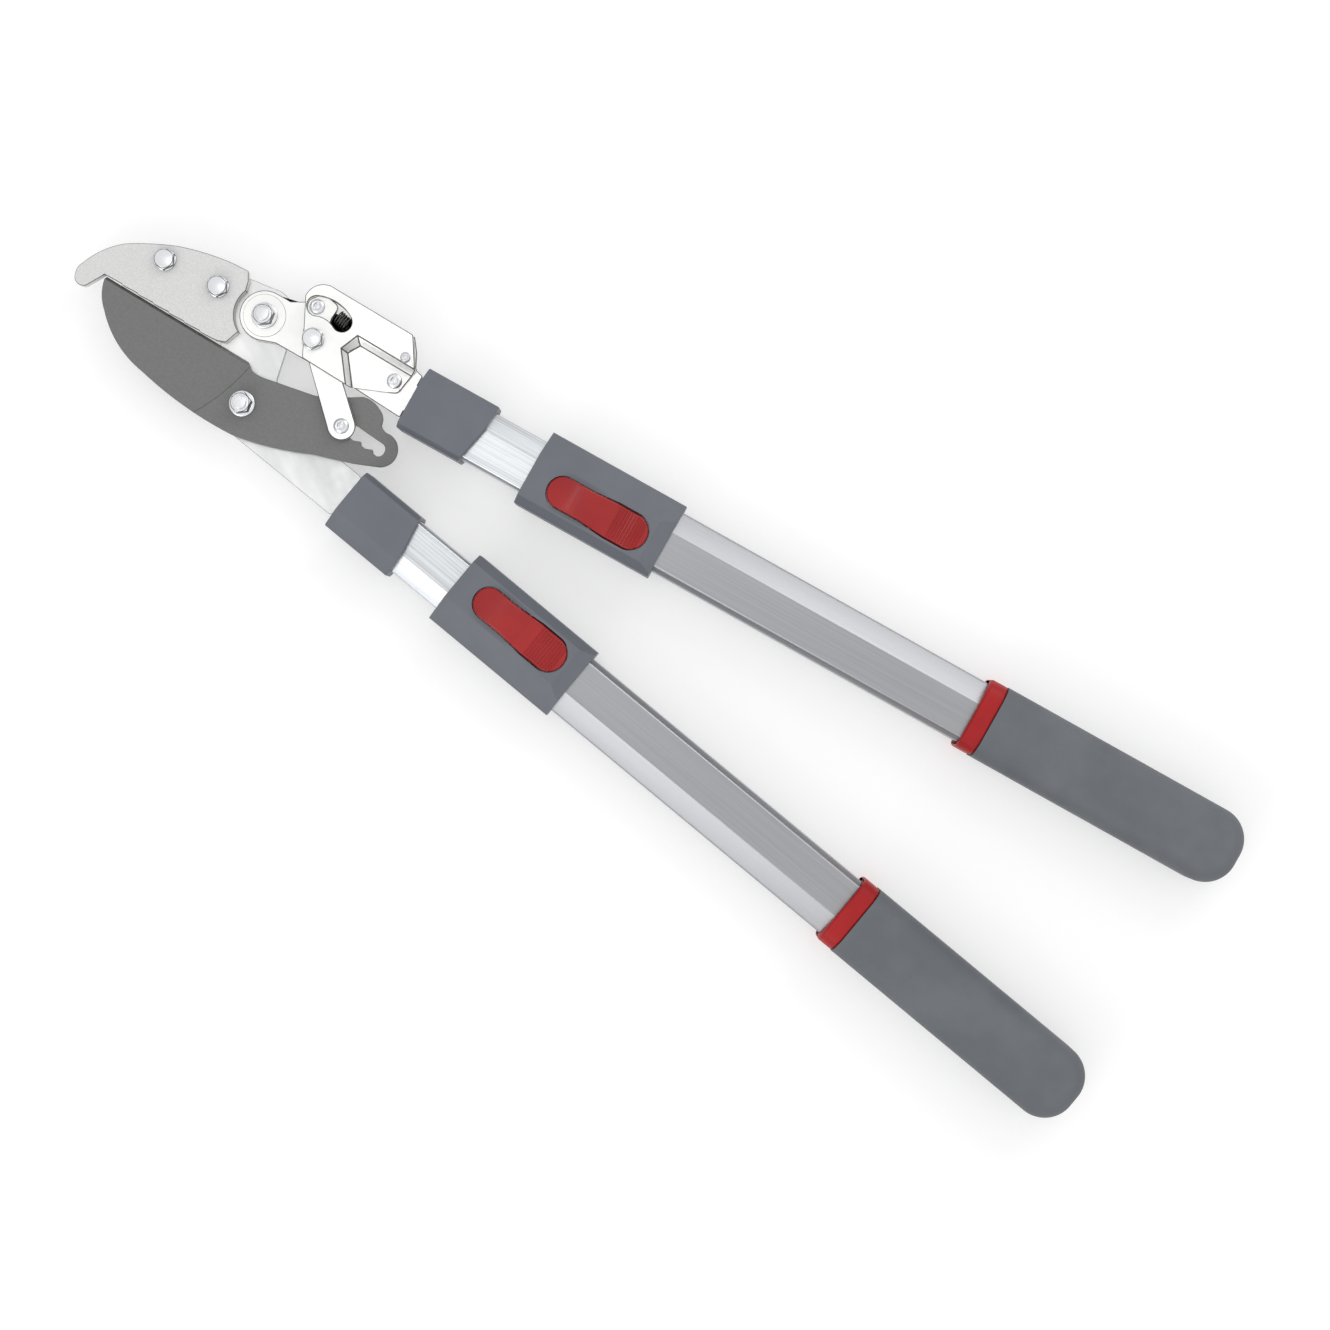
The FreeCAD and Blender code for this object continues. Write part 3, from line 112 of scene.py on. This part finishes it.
def relief(material, shader, height, depth, below=None):
    """Fine relief of a given depth in metres, on top of any coarser one."""
    bump = material.node_tree.nodes.new("ShaderNodeBump")
    bump.inputs["Distance"].default_value = depth
    wire(material, height, bump.inputs["Height"])
    if below is not None:
        wire(material, below, bump.inputs["Normal"])
    wire(material, bump.outputs["Normal"], shader.inputs["Normal"])
    return bump.outputs["Normal"]


SHEET_SIZE = 6.0
opal, opal_shader = new_material("opal_sheet")
frosting = grain(opal, 900.0)
opal_white = shade(opal, frosting, (0.60, 0.60, 0.60), (0.63, 0.63, 0.63))
wire(opal, opal_white, opal_shader.inputs["Base Color"])
opal_shader.inputs["Roughness"].default_value = 0.9
opal_shader.inputs["Emission Color"].default_value = (1, 1, 1, 1)
opal_shader.inputs["Emission Strength"].default_value = 0.42
relief(opal, opal_shader, frosting, 0.00003)
sheet_mesh = bmesh.new()
bmesh.ops.create_grid(sheet_mesh, x_segments=1, y_segments=1, size=SHEET_SIZE / 2)
sheet_data = bpy.data.meshes.new("light_table")
sheet_mesh.to_mesh(sheet_data)
sheet_mesh.free()
sheet_data.materials.append(opal)
light_table = bpy.data.objects.new("light_table", sheet_data)
bpy.context.scene.collection.objects.link(light_table)

# ---------------------------------------------------------------- studio light and camera
# A white tent, dimmer towards its foot, with a soft box at each side and a small
# one overhead. The camera looks straight down on the tool.

TENT_FOOT = (0.16, 0.16, 0.17)
TENT_WALL = (0.82, 0.82, 0.83)
TENT_ROOF = (0.93, 0.93, 0.93)
tent = bpy.data.worlds.new("light_tent")
tent.use_nodes = True
bpy.context.scene.world = tent
tent_nodes = tent.node_tree.nodes
tent_place = tent_nodes.new("ShaderNodeTexCoord")
tent_split = tent_nodes.new("ShaderNodeSeparateXYZ")
tent_ramp = tent_nodes.new("ShaderNodeValToRGB")
tent_ramp.color_ramp.elements[0].position = 0.08
tent_ramp.color_ramp.elements[0].color = (*TENT_FOOT, 1)
tent_ramp.color_ramp.elements[1].position = 0.95
tent_ramp.color_ramp.elements[1].color = (*TENT_ROOF, 1)
tent_middle = tent_ramp.color_ramp.elements.new(0.45)
tent_middle.color = (*TENT_WALL, 1)
tent.node_tree.links.new(tent_place.outputs["Generated"], tent_split.inputs["Vector"])
tent.node_tree.links.new(tent_split.outputs["Z"], tent_ramp.inputs["Fac"])
tent.node_tree.links.new(tent_ramp.outputs["Color"], tent_nodes["Background"].inputs["Color"])
tent_nodes["Background"].inputs["Strength"].default_value = 1.0


def soft_box(name, place, width, power):
    """A square soft light that faces the middle of the tool."""
    light = bpy.data.lights.new(name, "AREA")
    light.shape = "SQUARE"
    light.size = width
    light.energy = power
    box = bpy.data.objects.new(name, light)
    box.location = place
    box.rotation_euler = Vector(place).to_track_quat("Z", "Y").to_euler()
    bpy.context.scene.collection.objects.link(box)


soft_box("upper_side_box", (0.1, 1.25, 0.85), 0.8, 4.2)
soft_box("lower_side_box", (-0.1, -1.25, 0.85), 0.8, 4.2)
soft_box("overhead_box", (-0.30, 0.12, 1.45), 0.22, 0.5)
bpy.context.scene.view_settings.view_transform = "Standard"

CAMERA_ROLL = math.radians(34.46)
CAMERA_HEIGHT = 1.10
TOOL_LEVEL = 0.018
VIEW_WIDTH = 0.685
camera_data = bpy.data.cameras.new("camera")
camera_data.sensor_width = 36.0
camera_data.lens = camera_data.sensor_width * (CAMERA_HEIGHT - TOOL_LEVEL) / VIEW_WIDTH
camera = bpy.data.objects.new("camera", camera_data)
camera.location = (0.0329, -0.0088, CAMERA_HEIGHT)
camera.rotation_euler = (0, 0, CAMERA_ROLL)
bpy.context.scene.collection.objects.link(camera)
bpy.context.scene.camera = camera

# ---------------------------------------------------------------- lower frame plate
# Hot-dip galvanised sheet steel, blanked with its edges broken. It carries the anvil and
# both pivots, and its tang is riveted into the lower handle.

BODY_OF = {}
for body_name, body_nodes in frame["record"]["behaviour"]["bodies"].items():
    for body_node in body_nodes:
        BODY_OF[body_node] = body_name


def dressed(node, material):
    """Give a CAD node its finish."""
    data = frame["nodes"][node].data
    data.materials.clear()
    data.materials.append(material)


def softened(node, material, width, segments=2, sharp=28.0, edge=None):
    """A copy of a CAD node with its edges broken, and painted shade on the broken edges where a shade
    material is given.
    """
    mesh = bmesh.new()
    mesh.from_mesh(frame["nodes"][node].data)
    bmesh.ops.remove_doubles(mesh, verts=mesh.verts, dist=0.000004)
    bmesh.ops.dissolve_limit(mesh, angle_limit=math.radians(0.5), verts=mesh.verts, edges=mesh.edges)
    for face in mesh.faces:
        face.smooth = True
    data = bpy.data.meshes.new(f"{node}_finished")
    mesh.to_mesh(data)
    mesh.free()
    data.set_sharp_from_angle(angle=math.radians(sharp))
    data.materials.append(material)
    piece = bpy.data.objects.new(f"{node}_finished", data)
    bpy.context.scene.collection.objects.link(piece)
    bevel = piece.modifiers.new("broken_edge", "BEVEL")
    bevel.width = width
    bevel.segments = segments
    bevel.limit_method = "ANGLE"
    bevel.angle_limit = math.radians(sharp)
    bevel.use_clamp_overlap = False
    bevel.harden_normals = True
    if edge is not None:
        data.materials.append(edge)
        bevel.material = 1
    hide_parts(node)
    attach(piece, BODY_OF[node])
    return piece


galvanised, galvanised_shader = new_material("galvanised_sheet", 0.9)
crystals = galvanised.node_tree.nodes.new("ShaderNodeTexVoronoi")
crystals.inputs["Scale"].default_value = 300.0
crystal_place = galvanised.node_tree.nodes.new("ShaderNodeTexCoord")
wire(galvanised, crystal_place.outputs["Object"], crystals.inputs["Vector"])
frost = grain(galvanised, 34.0, (4, 1, 1), -0.55, 8.0)
spangle = shade(galvanised, frost, (0.62, 0.63, 0.63), (0.99, 0.99, 0.98))
wire(galvanised, spangle, galvanised_shader.inputs["Base Color"])
crystal_gloss = spread(galvanised, crystals.outputs["Distance"], 0.34, 0.40)
wire(galvanised, crystal_gloss, galvanised_shader.inputs["Roughness"])
rolling = grain(galvanised, 700.0, (8, 1, 1), -0.4)
relief(galvanised, galvanised_shader, rolling, 0.00003)
# Painted shade for the broken edges: a dark grey on the bevels in place of the shade and dark reflections
# along the plates' outlines.
edge_shade, edge_shade_shader = new_material("painted_edge_shade", 0.8)
edge_shade_grey = shade(edge_shade, grain(edge_shade, 900.0), (0.09, 0.09, 0.09), (0.15, 0.15, 0.15))
wire(edge_shade, edge_shade_grey, edge_shade_shader.inputs["Base Color"])
wire(edge_shade, spread(edge_shade, grain(edge_shade, 1600.0), 0.40, 0.55), edge_shade_shader.inputs["Roughness"])
softened("lower_frame_plate", galvanised, 0.0002, edge=edge_shade)

# ---------------------------------------------------------------- anvil
# Thick steel plate, blanked to a hook with a saw-toothed edge, then bead-blasted
# and plated matte. Two hex bolts hold it to the frame plate.

blasted, blasted_shader = new_material("blasted_anvil", 0.55)
pits = grain(blasted, 2400.0, detail=5.0)
blasted_grey = shade(blasted, grain(blasted, 1300.0, detail=5.0), (0.66, 0.66, 0.655), (0.75, 0.75, 0.74))
wire(blasted, blasted_grey, blasted_shader.inputs["Base Color"])
wire(blasted, spread(blasted, pits, 0.42, 0.62), blasted_shader.inputs["Roughness"])
relief(blasted, blasted_shader, pits, 0.00008)
# The anvil's broken edges take the painted edge shade.
softened("anvil", blasted, 0.0003, edge=edge_shade)

# ---------------------------------------------------------------- blade
# Hardened steel under a dark non-stick coating. The cutting half is ground from a curved
# line beside the pivot down to the straight edge, which keeps a narrow bright bevel.

HINGES = frame["record"]["behaviour"]["joints"]
PIVOT = Vector(next(joint for joint in HINGES if joint["name"] == "handle_hinge")["pos_m"])
GRIND_CENTRE = PIVOT + Vector((-0.1018, -0.0128, 0))
GRIND_RADIUS = 0.1112
coating, coating_shader = new_material("blade_coating", 0.25)
blade_nodes = coating.node_tree.nodes
blade_place = blade_nodes.new("ShaderNodeTexCoord")
blade_reach = blade_nodes.new("ShaderNodeVectorMath")
blade_reach.operation = "DISTANCE"
blade_flat = blade_nodes.new("ShaderNodeVectorMath")
blade_flat.operation = "MULTIPLY"
blade_flat.inputs[1].default_value = (1, 1, 0)
wire(coating, blade_place.outputs["Object"], blade_flat.inputs[0])
wire(coating, blade_flat.outputs["Vector"], blade_reach.inputs[0])
blade_reach.inputs[1].default_value = (GRIND_CENTRE.x, GRIND_CENTRE.y, 0)
ground_half = spread(coating, blade_reach.outputs["Value"], 0.0, 1.0, GRIND_RADIUS - 0.0003, GRIND_RADIUS)
mottle = shade(coating, grain(coating, 1400.0, (2, 1, 1), 0.06), (0.166, 0.165, 0.163), (0.186, 0.185, 0.183))
wire(coating, mottle, coating_shader.inputs["Base Color"])
wire(coating, spread(coating, grain(coating, 1500.0), 0.46, 0.60), coating_shader.inputs["Roughness"])
blade_step = relief(coating, coating_shader, ground_half, 0.0005)
relief(coating, coating_shader, grain(coating, 2200.0), 0.00002, blade_step)
softened("blade", coating, 0.0002)

# ---------------------------------------------------------------- arm plate, cover and link
# Bright zinc-plated sheet: the upper arm plate with a coined pad round its pivot, the
# pressed cover riveted over it, and the ratchet link between the two.

zinc, zinc_shader = new_material("bright_zinc", 0.85)
zinc_grey = shade(zinc, grain(zinc, 45.0, detail=6.0), (0.86, 0.86, 0.84), (0.97, 0.97, 0.95))
wire(zinc, zinc_grey, zinc_shader.inputs["Base Color"])
wire(zinc, spread(zinc, grain(zinc, 700.0), 0.30, 0.42), zinc_shader.inputs["Roughness"])
relief(zinc, zinc_shader, grain(zinc, 1100.0, (5, 1, 1), 0.1), 0.000015)
# Their broken edges take the painted edge shade.
for node in ("upper_arm_plate", "cover_plate", "ratchet_link"):
    softened(node, zinc, 0.00042, edge=edge_shade)


def finished(name, mesh, material, body, sharp=30.0):
    """A modelled piece: normals made right, shaded by angle and riding on its body."""
    bmesh.ops.recalc_face_normals(mesh, faces=mesh.faces)
    for face in mesh.faces:
        face.smooth = True
    data = bpy.data.meshes.new(name)
    mesh.to_mesh(data)
    mesh.free()
    data.set_sharp_from_angle(angle=math.radians(sharp))
    data.materials.append(material)
    piece = bpy.data.objects.new(name, data)
    bpy.context.scene.collection.objects.link(piece)
    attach(piece, body)
    return piece


def turned(profile, place, steps=64):
    """A shape turned about the upright axis through a place, from (radius, height) pairs."""
    mesh = bmesh.new()
    rim = [mesh.verts.new((radius, 0, height)) for radius, height in profile]
    line = [mesh.edges.new(pair) for pair in zip(rim, rim[1:])]
    bmesh.ops.spin(
        mesh,
        geom=rim + line,
        cent=(0, 0, 0),
        axis=(0, 0, 1),
        dvec=(0, 0, 0),
        angle=math.tau,
        steps=steps,
        use_merge=True,
    )
    bmesh.ops.remove_doubles(mesh, verts=mesh.verts, dist=0.000001)
    bmesh.ops.translate(mesh, verts=mesh.verts, vec=place)
    return mesh


PAD_RADIUS = 0.0109
PAD_HEIGHT = 0.00026
PAD_FLATNESS = 0.9
hub_top = Vector((PIVOT.x, PIVOT.y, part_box("upper_arm_plate")[1].z))
pad_profile = [
    (0.0040, -0.0002),
    (0.0040, PAD_HEIGHT),
    (PAD_RADIUS, PAD_HEIGHT),
    (PAD_RADIUS + 0.0003, -0.0002),
    (0.0040, -0.0002),
]
hub_pad = finished("hub_pad", turned(pad_profile, hub_top, 96), zinc, "upper_arm")
# The pad's sloping rim takes the painted edge shade.
hub_pad.data.materials.append(edge_shade)
for face in hub_pad.data.polygons:
    if abs(face.normal.z) < PAD_FLATNESS:
        face.material_index = 1

# ---------------------------------------------------------------- bolts, nuts and rivets
# Zinc-plated steel fasteners: hex bolts in the anvil and the link, threaded pivot ends
# standing out of flange nuts, and low rivets with a dished middle.

plated, plated_shader = new_material("plated_fastener", 0.95)
plated_grey = shade(plated, grain(plated, 90.0), (0.76, 0.77, 0.79), (0.84, 0.85, 0.87))
wire(plated, plated_grey, plated_shader.inputs["Base Color"])
wire(plated, spread(plated, grain(plated, 260.0), 0.24, 0.32), plated_shader.inputs["Roughness"])
# Painted shade for the upright flanks of the fasteners: a dark grey in place of the shade and dark
# reflections there.
flank_shade, flank_shade_shader = new_material("painted_fastener_shade", 0.9)
flank_shade_grey = shade(flank_shade, grain(flank_shade, 120.0), (0.16, 0.16, 0.17), (0.26, 0.26, 0.27))
wire(flank_shade, flank_shade_grey, flank_shade_shader.inputs["Base Color"])
wire(flank_shade, spread(flank_shade, grain(flank_shade, 260.0), 0.34, 0.44), flank_shade_shader.inputs["Roughness"])
FLATS = 0.010
FLANK_STEEPNESS = 0.75
BOLT_RADIUS = 0.003
COVERING = 0.0001
PIVOT_BOLT_RADIUS = 0.0034 + COVERING
WASHER_RADIUS = 0.0057
FLANGE_RADIUS = 0.0067


def hexagon(place, seat, top, turn, base_radius):
    """A hex head or nut on its round base, with the round crown that its chamfer leaves."""
    base = 0.0009
    crown = 0.0004
    mesh = bmesh.new()
    bmesh.ops.create_circle(mesh, cap_ends=True, segments=6, radius=FLATS / math.sqrt(3))
    region = bmesh.ops.extrude_face_region(mesh, geom=list(mesh.faces))
    risen = [item for item in region["geom"] if isinstance(item, bmesh.types.BMVert)]
    bmesh.ops.translate(mesh, verts=risen, vec=(0, 0, top - seat - crown))
    upper = [edge for edge in mesh.edges if min(vert.co.z for vert in edge.verts) > base]
    bevel_edges(mesh, upper, 0.00045, 2)
    bmesh.ops.rotate(mesh, verts=mesh.verts, matrix=Matrix.Rotation(turn, 3, "Z"))
    bmesh.ops.translate(mesh, verts=mesh.verts, vec=(place[0], place[1], seat))
    rings = turned(
        [
            (0.0, top - seat),
            (FLATS * 0.44, top - seat),
            (FLATS * 0.46, top - seat - crown * 0.2),
            (FLATS * 0.49, top - seat - crown),
            (FLATS * 0.49, base * 1.1),
            (base_radius - 0.0006, base),
            (base_radius - 0.0001, base * 0.7),
            (base_radius, base * 0.4),
            (base_radius, 0.0),
            (0.0, 0.0),
        ],
        (place[0], place[1], seat),
    )
    absorb(mesh, rings)
    return mesh


def absorb(mesh, other):
    """Add another mesh to this one."""
    data = bpy.data.meshes.new("working")
    other.to_mesh(data)
    other.free()
    mesh.from_mesh(data)
    bpy.data.meshes.remove(data)


def bevel_edges(mesh, edges, width, segments):
    """Break some edges of a mesh."""
    bmesh.ops.bevel(
        mesh,
        geom=edges,
        offset=width,
        offset_type="OFFSET",
        affect="EDGES",
        segments=segments,
        profile=0.5,
        material=-1,
    )


def threaded_end(place, low, top, radius):
    """The end of a threaded bolt: a few thread ridges and a chamfered, slightly domed tip."""
    pitch = 0.0008
    groove = 0.00008
    profile = [(0.0, low), (radius - groove, low)]
    height = low + pitch / 2
    while height < top - 0.0006:
        profile.append((radius, height))
        profile.append((radius - groove, height + pitch / 2))
        height += pitch
    profile += [
        (radius, top - 0.0003),
        (radius - 0.0004, top),
        (radius * 0.5, top + 0.00005),
        (0.0, top + 0.0001),
    ]
    return turned(profile, (place[0], place[1], 0))


def shadowed(piece):
    """Paint shade on the upright flanks of a fastener, as a darker grey."""
    piece.data.materials.append(flank_shade)
    for face in piece.data.polygons:
        if abs(face.normal.z) < FLANK_STEEPNESS:
            face.material_index = 1
    return piece


def middle(node):
    """Upright middle line of a round or hexagonal node."""
    low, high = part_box(node)
    return (low + high) / 2


def flange_nut(name, turn):
    """A flange nut in place of the CAD one, and the threaded end that sheathes its bolt's end."""
    low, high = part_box(f"{name}_nut")
    bolt_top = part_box(f"{name}_bolt")[1].z
    place = middle(f"{name}_nut")
    nut = hexagon(place, low.z, high.z, turn, FLANGE_RADIUS)
    absorb(nut, threaded_end(place, high.z - 0.001, bolt_top + COVERING, PIVOT_BOLT_RADIUS))
    piece = shadowed(finished(f"{name}_nut_front", nut, plated, "lower_frame"))
    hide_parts(f"{name}_nut")


NUT_TURN = math.radians(12)
flange_nut("main_pivot", NUT_TURN)
flange_nut("blade_pivot", NUT_TURN)

HEX_TURN = math.radians(30)


def shank(place, low, high):
    """A bolt's shank with a chamfered end."""
    chamfer = 0.0005
    profile = [
        (0.0, low),
        (BOLT_RADIUS - chamfer, low),
        (BOLT_RADIUS, low + chamfer),
        (BOLT_RADIUS, high),
        (0.0, high),
    ]
    return turned(profile, (place[0], place[1], 0))


link_low, link_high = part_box("link_pivot_bolt")
link_place = middle("link_pivot_bolt")
link_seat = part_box("cover_plate")[1].z
link_bolt = hexagon(link_place, link_seat, link_high.z, HEX_TURN, WASHER_RADIUS)
absorb(link_bolt, shank(link_place, link_low.z, link_seat))
link_turned = shadowed(finished("link_pivot_turned", link_bolt, plated, "upper_arm"))
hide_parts("link_pivot_bolt")

anvil_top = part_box("anvil")[1].z
bolts_low, bolts_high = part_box("anvil_bolts")
half_flats = FLATS / 2
half_corners = FLATS / math.sqrt(3)
front_bolt = (bolts_low.x + half_flats, bolts_low.y + half_corners)
rear_bolt = (bolts_high.x - half_flats, bolts_high.y - half_corners)
anvil_pair = hexagon(front_bolt, anvil_top, bolts_high.z, HEX_TURN, WASHER_RADIUS)
absorb(anvil_pair, shank(front_bolt, bolts_low.z, anvil_top))
absorb(anvil_pair, hexagon(rear_bolt, anvil_top, bolts_high.z, HEX_TURN, WASHER_RADIUS))
absorb(anvil_pair, shank(rear_bolt, bolts_low.z, anvil_top))
anvil_turned = shadowed(finished("anvil_bolts_turned", anvil_pair, plated, "lower_frame"))
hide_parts("anvil_bolts")


def rivet(place, low, seat, head, shank, foot=0.0):
    """A rivet: a shank, a low head with a punched and dished middle, and a foot where it has one."""
    profile = [(0.0, low), (shank + foot, low)]
    if foot:
        profile += [(shank + foot, low + 0.001), (shank, low + 0.001)]
    profile += [
        (shank, seat),
        (head, seat),
        (head, seat + 0.0005),
        (head * 0.90, seat + 0.0010),
        (head * 0.70, seat + 0.0014),
        (head * 0.52, seat + 0.0013),
        (head * 0.36, seat + 0.0006),
        (head * 0.18, seat + 0.0008),
        (0.0, seat + 0.0009),
    ]
    return turned(profile, (place[0], place[1], 0))


RIVET_HEAD = 0.004
RIVET_RISE = 0.0014
PIN_RADIUS = 0.0016
COVER_RIVET_RADIUS = 0.002
for node, foot in (("ratchet_pin", 0.0), ("spring_rivet", 0.001)):
    low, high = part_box(node)
    pin = rivet(middle(node), low.z, high.z - RIVET_RISE, RIVET_HEAD, PIN_RADIUS, foot)
    piece = finished(f"{node}_turned", pin, plated, "link")
    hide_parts(node)
low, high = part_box("cover_rivets")
flat_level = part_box("upper_arm_plate")[1].z + 0.0015
near_place = PIVOT + Vector((0.0745, 0.0100, 0))
cover_pair = rivet(near_place, low.z, flat_level, RIVET_HEAD, COVER_RIVET_RADIUS, 0.0012)
far_place = PIVOT + Vector((0.0730, 0.0230, 0))
far_seat = high.z - RIVET_RISE
absorb(cover_pair, rivet(far_place, low.z, far_seat, RIVET_HEAD * 0.7, COVER_RIVET_RADIUS, 0.0012))
piece = finished("cover_rivets_turned", cover_pair, plated, "upper_arm")
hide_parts("cover_rivets")
for node in ("anvil_nuts", "link_pivot_nut", "main_pivot_bolt", "blade_pivot_bolt"):
    dressed(node, plated)

# ---------------------------------------------------------------- ratchet spring
# Blackened coil spring in the arc window, between the link's lobe and the window's end.
# The link squeezes it to a fifth of its length as the handle opens fully.

blackened, blackened_shader = new_material("blackened_wire", 0.9)
oxide = shade(blackened, grain(blackened, 900.0), (0.06, 0.06, 0.06), (0.13, 0.13, 0.12))
wire(blackened, oxide, blackened_shader.inputs["Base Color"])
wire(blackened, spread(blackened, grain(blackened, 1800.0), 0.20, 0.32), blackened_shader.inputs["Roughness"])


def crushed(node):
    """A copy of a spring's node, in blackened wire, with a mesh of its own."""
    mesh = bmesh.new()
    mesh.from_mesh(frame["nodes"][node].data)
    bmesh.ops.remove_doubles(mesh, verts=mesh.verts, dist=0.000004)
    piece = finished(f"{node}_wire", mesh, blackened, BODY_OF[node], 40.0)
    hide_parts(node)
    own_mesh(piece)


crushed("ratchet_spring")

# ---------------------------------------------------------------- collars
# Moulded collars that hide the tang rivets: glass-filled nylon with fine satin grain,
# pushed over the inner tube's end.


def moulding(name, dark, light, rough, depth, texture_scale=2600.0, gloss=0.5):
    """Moulded plastic with a fine spark-eroded grain and faint flow marks."""
    plastic, shader = new_material(name)
    shader.inputs["Specular IOR Level"].default_value = gloss
    wire(plastic, shade(plastic, grain(plastic, 45.0), dark, light), shader.inputs["Base Color"])
    texture = grain(plastic, texture_scale)
    wire(plastic, spread(plastic, texture, rough, rough + 0.12), shader.inputs["Roughness"])
    relief(plastic, shader, texture, depth)
    return plastic


slate = moulding("slate_moulding", (0.126, 0.139, 0.159), (0.140, 0.153, 0.173), 0.40, 0.00003)
SIDES = {"upper": 1, "lower": -1}
for name in SIDES:
    softened(f"{name}_collar", slate, 0.0006, 3)

# ---------------------------------------------------------------- tubes
# Drawn aluminium: the inner tube bright anodised, the outer one satin. The drawing marks
# run along each handle's own direction.

JOINTS = {joint["name"]: joint for joint in frame["record"]["behaviour"]["joints"]}


def handle_turn(name):
    """Angle of a handle's own direction about Z."""
    along = JOINTS[f"{name}_telescope"]["axis"]
    return math.atan2(along[1], along[0])


def tube_metal(name, turn, dark, light, rough, depth):
    """Drawn aluminium with fine marks along the tube."""
    metal, shader = new_material(name, 0.95)
    marks = grain(metal, 900.0, (90, 1, 1), turn, 4.0)
    wire(metal, shade(metal, marks, dark, light), shader.inputs["Base Color"])
    wire(metal, spread(metal, marks, rough, rough + 0.08), shader.inputs["Roughness"])
    relief(metal, shader, marks, depth)
    return metal


for name in SIDES:
    turn = handle_turn(name)
    bright = tube_metal(f"{name}_bright_tube", turn, (0.48, 0.50, 0.52), (0.72, 0.735, 0.75), 0.27, 0.00002)
    satin = tube_metal(f"{name}_satin_tube", turn, (0.36, 0.365, 0.38), (0.40, 0.405, 0.42), 0.34, 0.000015)
    softened(f"{name}_inner_tube", bright, 0.0002, 2, 22.0)
    softened(f"{name}_outer_tube", satin, 0.0002, 2, 22.0)

# ---------------------------------------------------------------- lock sleeves
# Moulded sleeves of the same slate nylon, screwed to the outer tube, each with a rounded
# lip round the lever's well.

for name in SIDES:
    dressed(f"{name}_lock_sleeve", slate)

# ---------------------------------------------------------------- lock levers
# Glossy red levers that rock on a cross pin: domed over the peg, hollowed for the thumb
# and ribbed across the thumb end. They press a leaf spring.

RIB_COUNT = 10
RIB_FIRST = 0.0096
RIB_PITCH = 0.0017
RIB_WIDTH = 0.0009
RIB_SINK = 0.0006
RIB_RISE = 0.0005
THUMB_HALF = 0.0096
THUMB_ROUND = 0.0075
LEVER_HALF_LENGTH = 0.0284
RIB_MARGIN = 0.0016

red = moulding("red_moulding", (0.31, 0.009, 0.010), (0.37, 0.013, 0.013), 0.30, 0.00001, 1800.0, 0.35)
red_shader = red.node_tree.nodes["Principled BSDF"]
red_shader.inputs["Coat Weight"].default_value = 0.12
red_shader.inputs["Coat Roughness"].default_value = 0.12


def hollow(along):
    """Height of the thumb hollow above the lever's pin, at a distance behind the pin."""
    behind = along - 0.002
    return 0.0023 - 0.0875 * behind + 11.52 * behind * (along - 0.018)


def rib_half_length(along):
    """Half the length of a rib, which shortens in the lever's rounded end."""
    left = LEVER_HALF_LENGTH - along
    if left >= THUMB_ROUND:
        return THUMB_HALF - RIB_MARGIN
    bite = math.sqrt(THUMB_ROUND**2 - (THUMB_ROUND - left) ** 2)
    return THUMB_HALF - THUMB_ROUND + bite - RIB_MARGIN


def lever_ribs(name):
    """The ribs of one lever, as rounded bars sunk into its hollow."""
    mesh = bmesh.new()
    for number in range(RIB_COUNT):
        along = RIB_FIRST + number * RIB_PITCH
        bar = bmesh.ops.create_cube(mesh, size=1.0)["verts"]
        deep = RIB_SINK + RIB_RISE
        bmesh.ops.scale(mesh, verts=bar, vec=(RIB_WIDTH, 2 * rib_half_length(along), deep))
        edges = {edge for vert in bar for edge in vert.link_edges}
        top = [edge for edge in edges if min(vert.co.z for vert in edge.verts) > 0]
        bmesh.ops.translate(mesh, verts=bar, vec=(along, 0, hollow(along) + RIB_RISE - deep / 2))
        bmesh.ops.bevel(
            mesh,
            geom=top,
            offset=RIB_RISE * 0.9,
            offset_type="OFFSET",
            affect="EDGES",
            segments=3,
            profile=0.5,
            material=-1,
        )
    pin = Vector(JOINTS[f"{name}_lock"]["pos_m"])
    stand = Matrix.Translation(pin) @ Matrix.Rotation(handle_turn(name), 4, "Z")
    bmesh.ops.transform(mesh, matrix=stand, verts=mesh.verts)
    return finished(f"{name}_lever_ribs", mesh, red, f"{name}_lever", 50.0)


for name in SIDES:
    dressed(f"{name}_lock_lever", red)
    lever_ribs(name)
    dressed(f"{name}_lever_pin", blackened)
    dressed(f"{name}_lock_peg", plated)
    crushed(f"{name}_lever_spring")

# ---------------------------------------------------------------- grips and rings
# Soft matte grips moulded over the tube's end, with a bright red ring in front that
# closes the gap to the tube.

ring_red = moulding("ring_moulding", (0.34, 0.009, 0.011), (0.40, 0.013, 0.014), 0.40, 0.00001, 1800.0, 0.25)
grip_grey = moulding("grip_moulding", (0.118, 0.127, 0.140), (0.140, 0.149, 0.162), 0.60, 0.00007, 1500.0)
for name in SIDES:
    softened(f"{name}_grip_ring", ring_red, 0.0016, 4)
    dressed(f"{name}_grip", grip_grey)

# ---------------------------------------------------------------- hidden fillings and screws
# Black nylon blocks round the tangs, bushes and plugs in the tubes, and the plated
# rivets and screws that hold them.

black = moulding("black_moulding", (0.018, 0.018, 0.019), (0.032, 0.032, 0.034), 0.45, 0.00002)
for name in SIDES:
    for part in ("tang_block", "tube_bush", "end_plug"):
        dressed(f"{name}_{part}", black)
    for part in ("tang_rivets", "sleeve_screws"):
        dressed(f"{name}_{part}", plated)
